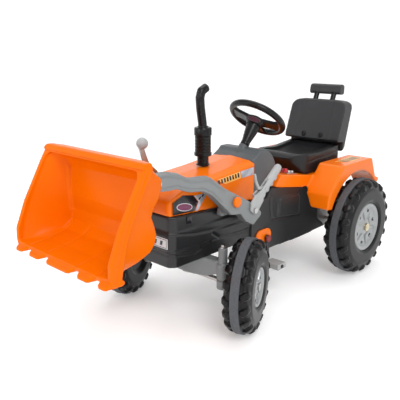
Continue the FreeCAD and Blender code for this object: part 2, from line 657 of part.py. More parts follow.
def make_sprocket(teeth, bore, x, z):
    """Chain wheel with trapezoid teeth that end just inside the chain's inner path."""
    outer = pitch_radius(teeth) - 0.6
    root = outer - 3.0
    disc = rod_y(0, 0, root, -2, 2)
    shapes = [disc, rod_y(0, 0, bore + 8, -7, 7)]
    for index in range(teeth):
        tooth = plate([(root - 1, -2.6), (outer, -1.2), (outer, 1.2), (root - 1, 2.6)], -2, 2)
        tooth.rotate(V(0, 0, 0), AXIS_Y, 360.0 / teeth * index)
        shapes.append(tooth)
    wheel = shapes[0].multiFuse(shapes[1:]).cut(rod_y(0, 0, bore, -20, 20))
    wheel.translate(V(x, CHAIN_Y, z))
    return wheel


def belt_face(y, grow):
    """Area inside a belt round both sprockets, as two discs and the trapezoid between."""
    big = pitch_radius(CRANK_TEETH) + grow
    small = pitch_radius(AXLE_TEETH) + grow
    run_x = CRANK_AXIS[0]
    run_z = CRANK_AXIS[1] - REAR_RADIUS
    length = math.hypot(run_x, run_z)
    heading = math.atan2(run_z, run_x)
    lean = math.acos((small - big) / length)
    corners = []
    for sign, (x, z, radius) in ((1, (0, REAR_RADIUS, small)), (1, (run_x, CRANK_AXIS[1], big)),
                                 (-1, (run_x, CRANK_AXIS[1], big)), (-1, (0, REAR_RADIUS, small))):
        angle = heading + sign * lean
        corners.append((x + radius * math.cos(angle), z + radius * math.sin(angle)))
    middle = plate(corners, y - 3.5, y + 3.5)
    return fuse([middle, rod_y(0, REAR_RADIUS, small, y - 3.5, y + 3.5),
                 rod_y(run_x, CRANK_AXIS[1], big, y - 3.5, y + 3.5)])


def make_chain():
    return belt_face(CHAIN_Y, 4.0).cut(belt_face(CHAIN_Y, 0.2))


def make_rear_axle():
    end = REAR_HALF_TRACK + 40
    return rod_y(0, REAR_RADIUS, AXLE_RADIUS, -end, end)


def make_axle_nuts():
    """Domed push-on nuts on both ends of the rear axle."""
    nuts = []
    for side in (-1, 1):
        start = side * (REAR_HALF_TRACK + 26 + 6.2)
        nut = rod_y(0, REAR_RADIUS, 13, start, start + side * 7)
        nuts.append(nut.cut(rod_y(0, REAR_RADIUS, AXLE_RADIUS, -300, 300)))
    return Part.makeCompound(nuts)


def make_axle_brackets():
    """Plates on the body sides that carry the rear axle, each with two screws."""
    brackets = []
    face = REAR_BODY_HALF + 0.2
    for side in (-1, 1):
        low, high = sorted((side * face, side * (face + 4)))
        shape = plate([(-24, 144, 10), (-24, 188, 10), (14, 214, 8), (66, 214, 8), (66, 172, 8),
                       (24, 142, 10)], low, high)
        shape = shape.cut(rod_y(0, REAR_RADIUS, AXLE_RADIUS + RUN, -120, 120))
        screws = [rod_y(x, 203, 4, side * (face + 4), side * (face + 7)) for x in (24, 54)]
        brackets += [shape] + screws
    return Part.makeCompound(brackets)


CRANK_RADIUS = 7.0
SPINDLE_RADIUS = 5.0
CRANK_INNER = 113.0       # faces of the crank arms
CRANK_OUTER = 119.0
PEDAL_HALF_LENGTH = 21.0
PEDAL_HALF_HEIGHT = 9.0
COVER_Z = 188.0           # the bearing cover's middle line, and its two centres along it
COVER_REAR_X = 360.0
COVER_FRONT_X = 389.0


def make_crank():
    """One bent rod: shaft, two opposed arms and the pedal spindles."""
    x, z = CRANK_AXIS
    shapes = [rod_y(x, z, CRANK_RADIUS, -CRANK_OUTER, CRANK_OUTER)]
    for side in (-1, 1):
        drop = -side * CRANK_LENGTH
        low, high = sorted((side * CRANK_INNER, side * CRANK_OUTER))
        root = z + side * 6
        arm = plate([(x - 8, root), (x - 6, z + drop), (x + 6, z + drop), (x + 8, root)], low, high)
        shapes += [arm, rod_y(x, z + drop, 7.5, low, high), rod_y(x, z, 11, low, high),
                   rod_y(x, z + drop, SPINDLE_RADIUS, side * 116, side * 176)]
    return fuse(shapes)


def make_pedal(side):
    """Grooved pedal block bored for its spindle."""
    x = CRANK_AXIS[0]
    z = CRANK_AXIS[1] - side * CRANK_LENGTH
    length = PEDAL_HALF_LENGTH
    height = PEDAL_HALF_HEIGHT
    slab = plate([(x - length, z - height, 4), (x + length, z - height, 4), (x + length, z + height, 4),
                  (x - length, z + height, 4)], 122, 172)
    grooves = [block(x + offset - 1.5, x + offset + 1.5, 120, 175, z + level - 1.5, z + level + 1.5)
               for offset in (-14, -7, 7, 14) for level in (-height, height)]
    pedal = cut(slab, grooves + [rod_y(x, z, SPINDLE_RADIUS + RUN, 100, 200)])
    return pedal if side > 0 else mirror_y(pedal)


def make_crank_covers():
    """Oval covers on the body sides round the crank bearings, longer ahead of the crank."""
    covers = []
    for side in (-1, 1):
        layers = []
        for radius, depth in ((22, 5), (17, 7)):
            low, high = sorted((side * (REAR_BODY_HALF + 0.2), side * (REAR_BODY_HALF + 0.2 + depth)))
            ends = [rod_y(x, COVER_Z, radius, low, high) for x in (COVER_REAR_X, COVER_FRONT_X)]
            middle = block(COVER_REAR_X, COVER_FRONT_X, low, high, COVER_Z - radius, COVER_Z + radius)
            layers.append(fuse(ends + [middle]))
        bore = rod_y(CRANK_AXIS[0], CRANK_AXIS[1], CRANK_RADIUS + RUN, -200, 200)
        covers.append(fuse(layers).cut(bore))
    return Part.makeCompound(covers)


# ---- loader -------------------------------------------------------------------------------
ARM = [(828, 457.5, 19), (794, 456.5, 20), (758, 447, 30), (727, 431, 40), (700, 427, 40), (655, 424, 30),
       (598, 384, 60), (484, 323, 20), (462, 309, 10), (433, 281, 9), (474, 255, 9), (508, 274, 10),
       (530, 300, 10), (552, 302, 12), (572, 306, 10), (585, 321, 10), (609, 341, 20), (646, 374, 40),
       (680, 391, 30), (727, 397, 40), (768, 413, 30), (828, 415, 19)]


CROSS_TUBE = (786.0, 436.0)   # X and Z of the tube between the arms
CROSS_TUBE_RADIUS = 9.0
GRIP_SCREW = (476.0, 300.0)
TRIGGER_PIN = (427.0, 352.0)
TRIGGER_PIN_RADIUS = 3.0
GRIP_RADIUS = 11.5


def make_arm(side):
    """One cranked loader arm with its bores and the blind socket of the cross tube."""
    y0, y1 = sorted((side * ARM_INNER, side * ARM_OUTER))
    arm = fuse([plate(ARM, y0, y1), rod_y(TILT_PIVOT[0], TILT_PIVOT[1], 21, y0, y1)])
    tools = [rod_y(LIFT_PIVOT[0], LIFT_PIVOT[1], PIVOT_ROD_RADIUS + RUN, -200, 200),
             rod_y(TILT_PIVOT[0], TILT_PIVOT[1], HINGE_RADIUS + RUN, -200, 200)]
    if side < 0:
        tools.append(rod_y(LEVER_PIVOT[0], LEVER_PIVOT[1], PIN_RADIUS, -200, 200))
    tools.append(rod_y(CROSS_TUBE[0], CROSS_TUBE[1], CROSS_TUBE_RADIUS, -131, 131))
    if side > 0:
        tools.append(rod_y(GRIP_SCREW[0], GRIP_SCREW[1], PIN_RADIUS, 130, 160))
    return cut(arm, tools)


def make_grip():
    """Hand grip on the rear of the left arm: a tang, a round grip and finger bumps."""
    start = V(452, GRIP_Y, 329)
    end = V(362, GRIP_Y, 400)
    along = (end - start).normalize()
    under = V(-along.z, 0, along.x)
    shapes = [rod(start, end, GRIP_RADIUS), Part.makeSphere(GRIP_RADIUS, end)]
    for index in range(4):
        centre = start + along * (18 + 22 * index) + under * 6
        shapes.append(rod_y(centre.x, centre.z, 9, GRIP_Y - 8, GRIP_Y + 8))
    tang = plate([(432, 326, 8), (470, 345, 8), (492, 322, 6), (494, 300, 8), (470, 285, 10)],
                 ARM_OUTER + 0.1, ARM_OUTER + 7)
    neck = plate([(432, 331, 4), (444, 352, 4), (467, 341, 4), (461, 322, 4)], GRIP_Y - 9, ARM_OUTER + 7)
    neck = neck.cut(plate(ARM, 100, ARM_OUTER + 0.1))
    handle = fuse(shapes + [tang, neck]).cut(plate(ARM, 100, ARM_OUTER + 0.1))
    handle = max(handle.Solids, key=lambda item: item.Volume)
    slot = plate([(408, 336), (470, 336), (470, 380), (408, 380)], GRIP_Y - 4, GRIP_Y + 4)
    return cut(handle, [slot, rod_y(TRIGGER_PIN[0], TRIGGER_PIN[1], TRIGGER_PIN_RADIUS, 100, 160),
                        rod_y(GRIP_SCREW[0], GRIP_SCREW[1], PIN_RADIUS, 100, 160)])


def make_trigger():
    """Thin release trigger in front of the grip, hung on its own pin."""
    blade = plate([(421, 347, 2), (452, 352, 8), (466, 376, 10), (471, 399, 2), (466, 401, 2), (460, 381, 8),
                   (448, 360, 8), (423, 357, 2)], GRIP_Y - 3, GRIP_Y + 3)
    eye = rod_y(TRIGGER_PIN[0], TRIGGER_PIN[1], 6.0, GRIP_Y - 3, GRIP_Y + 3)
    return fuse([blade, eye]).cut(rod_y(TRIGGER_PIN[0], TRIGGER_PIN[1], TRIGGER_PIN_RADIUS + RUN, 100, 160))


def make_loader_screws():
    """Trigger pin and the screw that holds the grip on the arm."""
    pin = rod_y(TRIGGER_PIN[0], TRIGGER_PIN[1], TRIGGER_PIN_RADIUS, GRIP_Y - 10.5, GRIP_Y + 10.5)
    shank = rod_y(GRIP_SCREW[0], GRIP_SCREW[1], PIN_RADIUS, 130, ARM_OUTER + 7)
    head = rod_y(GRIP_SCREW[0], GRIP_SCREW[1], 7.5, ARM_OUTER + 7.1, ARM_OUTER + 11)
    return Part.makeCompound([pin, fuse([shank, head])])


def make_brackets():
    """Two moulded brackets on the body sides that carry the loader's pivot rod."""
    brackets = []
    for side in (-1, 1):
        boss = rod_y(LIFT_PIVOT[0], LIFT_PIVOT[1], 20, side * 88.4, side * 117.5)
        foot = plate([(524, 296, 8), (580, 296, 8), (572, 338, 10), (532, 338, 10)],
                     min(side * 98.2, side * 112), max(side * 98.2, side * 112))
        boss = boss.cut(block(500, 600, -97.8, 97.8, 250, seam(552) + 1.8))
        shape = fuse([boss, foot])
        brackets.append(shape.cut(rod_y(LIFT_PIVOT[0], LIFT_PIVOT[1], PIVOT_ROD_RADIUS, -200, 200)))
    return Part.makeCompound(brackets)


def make_pivot_caps():
    """Domed push-on caps over the ends of the loader's pivot rod."""
    caps = []
    for side in (-1, 1):
        start = side * (ARM_OUTER + 0.2)
        dome = Part.makeSphere(24, V(LIFT_PIVOT[0], side * (ARM_OUTER - 11), LIFT_PIVOT[1]))
        drum = rod_y(LIFT_PIVOT[0], LIFT_PIVOT[1], 14.5, start, start + side * 14)
        cap = dome.common(drum)
        caps.append(cap.cut(rod_y(LIFT_PIVOT[0], LIFT_PIVOT[1], PIVOT_ROD_RADIUS, -149, 149)))
    return Part.makeCompound(caps)


# Bucket outlines, X and Z. The first pair is the outer skin: over the middle width, and at the
# flared rims, point for point. The second pair is the cavity in the same way.
SCOOP_BACK = [(902, 501), (878, 499), (842, 464), (824, 448), (824, 428), (834, 404), (850, 384), (857, 366),
              (849, 345), (843, 322), (848, 300), (864, 283), (900, 270), (950, 261), (992, 250), (1004, 256),
              (1007, 275), (1005, 303), (978, 367), (950, 416), (925, 460), (910, 484)]
SCOOP_RIM = [(902, 501), (884, 499), (884, 482), (889, 470), (896, 461), (903, 450), (911, 436), (919, 421),
             (928, 405), (938, 386), (948, 364), (958, 341), (966, 312), (973, 280), (980, 250), (1004, 256),
             (1007, 275), (1005, 303), (978, 367), (950, 416), (925, 460), (910, 484)]
CAVITY_TOP = 482.0
CAVITY_BACK = [(960, CAVITY_TOP), (894, CAVITY_TOP), (876, 466), (866, 446), (870, 400), (872, 370),
               (868, 335), (874, 304), (900, 286), (950, 274), (1060, 260), (1060, CAVITY_TOP)]
CAVITY_RIM = [(960, CAVITY_TOP), (905, CAVITY_TOP), (913, 468), (921, 453), (934, 430), (947, 406),
              (959, 382), (976, 346), (989, 310), (995, 272), (1060, 260), (1060, CAVITY_TOP)]
BACK_WIDTH = 150.0        # half widths of the bucket: skin at the back, rims, cavity at the back and rims
RIM_START = 176.0
RIM_HALF = 190.0
CAVITY_HALF = 140.0
CAVITY_FLARE = 177.0
SCOOP_TOP = 501.5
VOID_HALF_WIDTH = 128.0   # of the hollow between skin and cavity
TEETH = [(-187, -147), (-126, -72), (-51, 51), (72, 126), (147, 187)]
TOOTH_TIP = 1018.0


def flare(back, rim, half_back, half_rim):
    """Ruled solids on both sides that widen the back outline into the rim outline."""
    wires = []
    for points, y in ((back, half_back), (rim, half_rim)):
        corners = [V(x, y, z) for x, z in points]
        wires.append(Part.makePolygon(corners + [corners[0]]))
    left = Part.makeLoft(wires, True, True)
    return [left, mirror_y(left)]


def tooth(y0, y1):
    plan = [(972, y0 - 6), (982, y0 - 6, 5), (1000, y0, 8), (TOOTH_TIP, y0 + 7, 13), (TOOTH_TIP, y1 - 7, 13),
            (1000, y1, 8), (982, y1 + 6, 5), (972, y1 + 6)]
    side = [(972, 253.5), (972, 262), (1004, 260, 20), (TOOTH_TIP + 1, 254, 2), (TOOTH_TIP + 1, 248, 2),
            (1000, 249)]
    return plate(plan, 240, 270, "xy").common(plate(side, y0 - 10, y1 + 10))


def make_bucket():
    """Scoop with flared rims, a top bar, a toothed floor and hinge pockets behind."""
    outer = fuse([plate(SCOOP_BACK, -BACK_WIDTH, BACK_WIDTH), plate(SCOOP_RIM, RIM_START, RIM_HALF),
                  plate(SCOOP_RIM, -RIM_HALF, -RIM_START)]
                 + flare(SCOOP_BACK, SCOOP_RIM, BACK_WIDTH, RIM_START))
    cavity = fuse([plate(CAVITY_BACK, -CAVITY_HALF, CAVITY_HALF)]
                  + flare(CAVITY_BACK, CAVITY_RIM, CAVITY_HALF, CAVITY_FLARE))
    front = [(-RIM_HALF, 230), (-RIM_HALF, SCOOP_TOP, 12), (RIM_HALF, SCOOP_TOP, 12), (RIM_HALF, 230)]
    outer = outer.common(plate(front, 800, 1040, "yz"))
    mouth = [(-CAVITY_FLARE, 200), (-CAVITY_FLARE, CAVITY_TOP, 18), (CAVITY_FLARE, CAVITY_TOP, 18),
             (CAVITY_FLARE, 200)]
    cavity = cavity.common(plate(mouth, 800, 1100, "yz"))
    shell_face = Part.Face(outline(SCOOP_BACK, -VOID_HALF_WIDTH, "xz")).makeOffset2D(-WALL)
    grown_cavity = Part.Face(outline(CAVITY_BACK, -VOID_HALF_WIDTH, "xz")).makeOffset2D(WALL)
    below = Part.Face(outline([(800, 200), (975, 200), (975, 376), (800, 376)], -VOID_HALF_WIDTH, "xz"))
    void_face = max(shell_face.cut(grown_cavity).common(below).Faces, key=lambda item: item.Area)
    void = void_face.extrude(V(0, 2 * VOID_HALF_WIDTH, 0))
    bucket = outer.cut(cavity).cut(void)
    bucket = bucket.fuse(fuse([tooth(y0, y1) for y0, y1 in TEETH]))
    for side in (-1, 1):
        pocket = plate([(800, 395), (800, 475), (852, 475, 6), (852, 395, 6)],
                       min(side * (ARM_INNER - 1.5), side * (ARM_OUTER + 0.7)),
                       max(side * (ARM_INNER - 1.5), side * (ARM_OUTER + 0.7)))
        bucket = bucket.cut(pocket)
    link_slot = plate([(800, 380), (800, 475), (852, 475, 6), (852, 380, 6)], -112, -95)
    middle = plate([(800, 385), (800, 482), (850, 482, 8), (850, 385, 8)], -96.5, 110)
    link = (TILT_PIVOT[0] + LINK_DROP[0], TILT_PIVOT[1] + LINK_DROP[1])
    return cut(bucket, [link_slot, middle,
                        rod_y(TILT_PIVOT[0], TILT_PIVOT[1], HINGE_RADIUS, -149, -100),
                        rod_y(TILT_PIVOT[0], TILT_PIVOT[1], HINGE_RADIUS, 100, 149),
                        rod_y(link[0], link[1], PIN_RADIUS, -200, -90)])


def make_bucket_pins():
    pins = [rod_y(TILT_PIVOT[0], TILT_PIVOT[1], HINGE_RADIUS, side * 112.6, side * 149) for side in (-1, 1)]
    link = (TILT_PIVOT[0] + LINK_DROP[0], TILT_PIVOT[1] + LINK_DROP[1])
    pins.append(rod_y(link[0], link[1], PIN_RADIUS, -116.4, -98))
    return Part.makeCompound(pins)


def make_lever():
    """Flat curved tilt lever inside the right arm, with its pivot bolt and link pin."""
    px, pz = LEVER_PIVOT
    blade = plate([(px - 9, pz - 24, 8), (px + 13, pz - 26, 8), (px + 11, pz + 6, 20), (px + 24, pz + 30, 20),
                   (px + 45, pz + 44, 14), (px + 57, pz + 65, 14), (px + 73, pz + 113, 2),
                   (px + 59, pz + 117, 2), (px + 41, pz + 71, 14), (px + 32, pz + 56, 14),
                   (px + 8, pz + 36, 20), (px - 11, pz + 8, 16)],
                  -117.4, -110.4)
    bolt = rod_y(px, pz, PIN_RADIUS - RUN, -136, -108)
    link = rod_y(px + LINK_DROP[0], pz + LINK_DROP[1], PIN_RADIUS, -112, -99)
    return fuse([blade, bolt, link])


KNOB_RADIUS = 16.5


def make_ball_knob():
    """Ball pushed onto the end of the tilt lever, clear of the arm beside it."""
    centre = V(LEVER_PIVOT[0] + 70, KNOB_RADIUS + 1 - ARM_INNER, LEVER_PIVOT[1] + 122)
    ball = Part.makeSphere(KNOB_RADIUS, centre)
    return ball.cut(make_lever())


def make_push_rod():
    """Tilt link between the lever and the bucket, parallel to the line of their pivots."""
    rear = V(LEVER_PIVOT[0] + LINK_DROP[0], 0, LEVER_PIVOT[1] + LINK_DROP[1])
    front = V(TILT_PIVOT[0] + LINK_DROP[0], 0, TILT_PIVOT[1] + LINK_DROP[1])
    along = (front - rear).normalize()
    across = V(-along.z, 0, along.x) * 4.5
    corners = [rear + across, front + across, front - across, rear - across]
    bar = plate([(corner.x, corner.z) for corner in corners], -107.5, -101)
    eyes = [rod_y(point.x, point.z, 8, -107.5, -101) for point in (rear, front)]
    holes = [rod_y(point.x, point.z, PIN_RADIUS + RUN, -120, -90) for point in (rear, front)]
    return cut(fuse([bar] + eyes), holes)


def make_tow_hitch():
    """Towing tongue at the tail with a vertical eye for a trailer pin."""
    tongue = plate([(-44.8, -24), (-44.8, 24), (-96, 24, 12), (-120, 13, 12), (-120, -13, 12), (-96, -24, 12)],
                   166, 176, "xy")
    flange = block(-49.8, -45.2, -30, 30, 150, 192)
    return cut(fuse([tongue, flange]), [Part.makeCylinder(HITCH_RADIUS, 40, V(-106, 0, 150), AXIS_Z),
                                        block(-45.2, -40, -40, 40, 140, 200)])


def make_number_plate():
    return block(748.1, 749.7, -86, 86, 242, 270)


def build():
    keep("lower_body", make_lower_body())
    keep("bonnet", make_bonnet())
    keep("dash_cowl", make_cowl())
    keep("rear_deck", make_rear_deck())
    keep("seat_base", make_seat_base())
    keep("seat_back", make_seat_back())
    keep("seat_fixings", make_seat_fixings())
    keep("headrest", make_headrest())
    keep("headrest_posts", make_posts())
    keep("exhaust_muffler", make_muffler())
    keep("exhaust_pipe", make_pipe())
    keep("number_plate", make_number_plate())
    keep("tow_hitch", make_tow_hitch())
    keep("front_axle_beam", make_axle_beam())
    for side, name in ((1, "left"), (-1, "right")):
        keep("knuckle_" + name, make_knuckle(side))
        keep("stub_axle_" + name, make_stub_axle(side))
        keep("pedal_" + name, make_pedal(side))
        keep("loader_arm_" + name, make_arm(side))
    keep("kingpin_bolts", Part.makeCompound([make_kingpin_bolt(side) for side in (-1, 1)]))
    keep("tie_rod", make_tie_rod())
    keep("steering_shaft", make_steering_shaft())
    keep("steering_wheel", make_steering_wheel())
    keep("column_cover", make_column_cover())
    keep("horn_button", make_horn_button())
    make_wheels()
    keep("rear_axle", make_rear_axle())
    keep("rear_axle_nuts", make_axle_nuts())
    keep("rear_axle_brackets", make_axle_brackets())
    keep("rear_sprocket", make_sprocket(AXLE_TEETH, AXLE_RADIUS, 0, REAR_RADIUS))
    keep("drive_chain", make_chain())
    keep("pedal_crank", make_crank())
    keep("crank_sprocket", make_sprocket(CRANK_TEETH, CRANK_RADIUS, CRANK_AXIS[0], CRANK_AXIS[1]))
    keep("crank_covers", make_crank_covers())
    keep("loader_brackets", make_brackets())
    keep("loader_pivot_rod", rod_y(LIFT_PIVOT[0], LIFT_PIVOT[1], PIVOT_ROD_RADIUS, -148, 148))
    keep("loader_pivot_caps", make_pivot_caps())
    keep("loader_cross_tube", rod_y(CROSS_TUBE[0], CROSS_TUBE[1], CROSS_TUBE_RADIUS, -130.5, 130.5))
    keep("grip_handle", make_grip())
    keep("grip_trigger", make_trigger())
    keep("grip_screws", make_loader_screws())
    keep("bucket", make_bucket())
    keep("bucket_pins", make_bucket_pins())
    keep("tilt_lever", make_lever())
    keep("ball_knob", make_ball_knob())
    keep("push_rod", make_push_rod())


build()
os.makedirs("parts", exist_ok=True)
for name, shape in NODES.items():
    shape.translate(V(-ORIGIN_X, 0, 0))
    shape.exportStep("parts/" + name + ".step")
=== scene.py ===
import json
import math

import bmesh
import bpy
import numpy as np
from mathutils import Matrix, Vector


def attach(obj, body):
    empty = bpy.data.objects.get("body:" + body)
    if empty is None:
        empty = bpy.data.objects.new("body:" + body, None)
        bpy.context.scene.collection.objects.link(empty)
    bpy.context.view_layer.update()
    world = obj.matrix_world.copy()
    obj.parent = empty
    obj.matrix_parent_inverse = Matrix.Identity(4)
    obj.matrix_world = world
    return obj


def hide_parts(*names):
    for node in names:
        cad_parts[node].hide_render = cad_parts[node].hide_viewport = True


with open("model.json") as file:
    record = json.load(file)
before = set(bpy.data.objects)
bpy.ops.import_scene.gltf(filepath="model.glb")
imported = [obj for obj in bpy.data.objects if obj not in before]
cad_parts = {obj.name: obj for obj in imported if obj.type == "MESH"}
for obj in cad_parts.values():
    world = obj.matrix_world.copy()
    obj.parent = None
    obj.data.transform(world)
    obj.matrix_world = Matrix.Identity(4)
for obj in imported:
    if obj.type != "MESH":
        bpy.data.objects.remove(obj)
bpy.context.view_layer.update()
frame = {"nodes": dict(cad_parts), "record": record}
nodes = frame["nodes"]
record = frame["record"]
body_of_node = {name: body for body, names in record["behaviour"]["bodies"].items() for name in names}
slot_of_node = {item["node"]: item["material_slot"] for item in record["subparts"]}

# Lengths below are in millimetres, with X counted forward from the rear axle.
MM = 0.001
ORIGIN_X = 425.4                      # from the rear axle to the frame's origin
WHEELBASE = 606.0
LOCK = math.radians(23.3)             # how far the front wheels stand to the left
KINGPIN_Y = 147.0
WHEEL_OFFSET = 67.6                   # from a kingpin out to its wheel's middle
COLUMN_TILT = math.radians(38.2)
COLUMN_TOP = (280.0, 524.0)           # X and Z of the middle of the steering wheel
WHEEL_TURN = math.radians(28.02)      # how far the steering wheel stands to the left
BOTH_SIDES = ((1, "left"), (-1, "right"))
SHARP_ANGLE = math.radians(38)        # edges that turn more than this are shaded sharp


def point(x, y, z):
    """Millimetres from the rear axle to metres in the frame."""
    return Vector(((x - ORIGIN_X) * MM, y * MM, z * MM))


def shade_smooth(mesh):
    for polygon in mesh.polygons:
        polygon.use_smooth = True


def link(obj):
    bpy.context.scene.collection.objects.link(obj)


# ---- camera, light and floor --------------------------------------------------------------
CAMERA_PLACE = (1642, 1034, 733)
CAMERA_DIP = 15.5                     # degrees below level
CAMERA_HEADING = -226.88


def make_camera():
    """Camera ahead of the left front wheel, looking back and down."""
    data = bpy.data.cameras.new("camera")
    data.lens = 49.5
    data.sensor_width = 36.0
    data.clip_end = 50.0
    camera = bpy.data.objects.new("camera", data)
    camera.location = point(*CAMERA_PLACE)
    camera.rotation_euler = (math.radians(90 - CAMERA_DIP), 0, math.radians(CAMERA_HEADING))
    link(camera)
    bpy.context.scene.camera = camera


def make_light(name, place, target, size, power):
    """Soft rectangular light; places and sizes in metres, power in watts."""
    data = bpy.data.lights.new(name, "AREA")
    data.shape = "RECTANGLE"
    data.size = size[0]
    data.size_y = size[1]
    data.energy = power
    light = bpy.data.objects.new(name, data)
    light.location = place
    aim = Vector(target) - Vector(place)
    light.rotation_euler = aim.to_track_quat("-Z", "Y").to_euler()
    link(light)


FLOOR_RADIUS = 3.2                    # metres
SWEEP_RADIUS = 2.2
WALL_HEIGHT = 3.8
FLOOR_GLOW = 0.22
SKY_STRENGTH = 0.75


def make_floor_mesh():
    """A round floor that sweeps up into a wall."""
    profile = [(0.0, 0.0), (1.5, 0.0), (FLOOR_RADIUS, 0.0)]
    steps = 12
    for step in range(1, steps + 1):
        turn = math.radians(90 * step / steps)
        profile.append((FLOOR_RADIUS + SWEEP_RADIUS * math.sin(turn),
                        SWEEP_RADIUS - SWEEP_RADIUS * math.cos(turn)))
    profile.append((FLOOR_RADIUS + SWEEP_RADIUS, WALL_HEIGHT))
    sides = 96
    verts = []
    faces = []
    for radius, height in profile:
        for side in range(sides):
            turn = 2 * math.pi * side / sides
            verts.append((radius * math.cos(turn), radius * math.sin(turn), height))
    for ring in range(len(profile) - 1):
        for side in range(sides):
            after = (side + 1) % sides
            faces.append((ring * sides + side, ring * sides + after, (ring + 1) * sides + after,
                          (ring + 1) * sides + side))
    mesh = bpy.data.meshes.new("floor")
    mesh.from_pydata(verts, [], faces)
    shade_smooth(mesh)
    return mesh


def make_studio():
    """A pale round floor and wall, under a soft white sky and three soft lights."""
    mesh = make_floor_mesh()
    floor = bpy.data.objects.new("floor", mesh)
    link(floor)
    material = plastic("floor_white", (0.86, 0.86, 0.86), 0.75, shift=0.004, specular=0.1)
    shader = material.node_tree.nodes["Principled BSDF"]
    shader.inputs["Emission Color"].default_value = (1, 1, 1, 1)
    shader.inputs["Emission Strength"].default_value = FLOOR_GLOW
    mesh.materials.append(material)
    world = bpy.data.worlds.new("studio")
    world.use_nodes = True
    sky = world.node_tree.nodes["Background"]
    sky.inputs["Color"].default_value = (1, 1, 1, 1)
    sky.inputs["Strength"].default_value = SKY_STRENGTH
    bpy.context.scene.world = world
    make_light("key", (1.5, 2.2, 2.6), (0, 0, 0.3), (1.5, 1.5), 52)
    make_light("front", (2.6, -0.6, 1.3), (0, 0, 0.3), (1.4, 1.2), 10)
    make_light("top", (-0.5, -0.4, 2.9), (0, 0, 0.2), (2.0, 2.0), 26)
    bpy.context.scene.view_settings.view_transform = "Standard"


# ---- materials ----------------------------------------------------------------------------
GRAIN_DEPTH = 0.0002                  # metres
WAVE_DEPTH = 0.004
WAVE_SCALE = 9.0


def plastic(name, colour, roughness, grain=0.0, grain_scale=900.0, wave=0.0, shift=0.08,
            drift_scale=14.0, metallic=0.0, specular=0.5):
    """Moulded surface: colour drift, uneven gloss, a fine grain and a slow mould wave.

    grain and wave are bump strengths, shift is the share by which the colour drifts."""
    material = bpy.data.materials.new(name)
    material.use_nodes = True
    tree = material.node_tree
    shader = tree.nodes["Principled BSDF"]
    shader.inputs["Metallic"].default_value = metallic
    shader.inputs["Specular IOR Level"].default_value = specular
    where = tree.nodes.new("ShaderNodeTexCoord")
    drift = tree.nodes.new("ShaderNodeTexNoise")
    drift.inputs["Scale"].default_value = drift_scale
    drift.inputs["Detail"].default_value = 6.0
    tree.links.new(where.outputs["Object"], drift.inputs["Vector"])
    tint = tree.nodes.new("ShaderNodeMix")
    tint.data_type = "RGBA"
    tint.inputs["A"].default_value = (*[c * (1 - shift) for c in colour], 1)
    tint.inputs["B"].default_value = (*[min(1.0, c * (1 + shift)) for c in colour], 1)
    tree.links.new(drift.outputs["Fac"], tint.inputs["Factor"])
    tree.links.new(tint.outputs["Result"], shader.inputs["Base Color"])
    gloss = tree.nodes.new("ShaderNodeMapRange")
    gloss.inputs["To Min"].default_value = roughness * 0.85
    gloss.inputs["To Max"].default_value = min(1.0, roughness * 1.2)
    tree.links.new(drift.outputs["Fac"], gloss.inputs["Value"])
    tree.links.new(gloss.outputs["Result"], shader.inputs["Roughness"])
    previous = None
    for strength, scale, distance in ((grain, grain_scale, GRAIN_DEPTH), (wave, WAVE_SCALE, WAVE_DEPTH)):
        if strength == 0.0:
            continue
        texture = tree.nodes.new("ShaderNodeTexNoise")
        texture.inputs["Scale"].default_value = scale
        texture.inputs["Detail"].default_value = 3.0
        tree.links.new(where.outputs["Object"], texture.inputs["Vector"])
        bump = tree.nodes.new("ShaderNodeBump")
        bump.inputs["Strength"].default_value = strength
        bump.inputs["Distance"].default_value = distance
        tree.links.new(texture.outputs["Fac"], bump.inputs["Height"])
        if previous is not None:
            tree.links.new(previous.outputs["Normal"], bump.inputs["Normal"])
        previous = bump
    if previous is not None:
        tree.links.new(previous.outputs["Normal"], shader.inputs["Normal"])
    return material


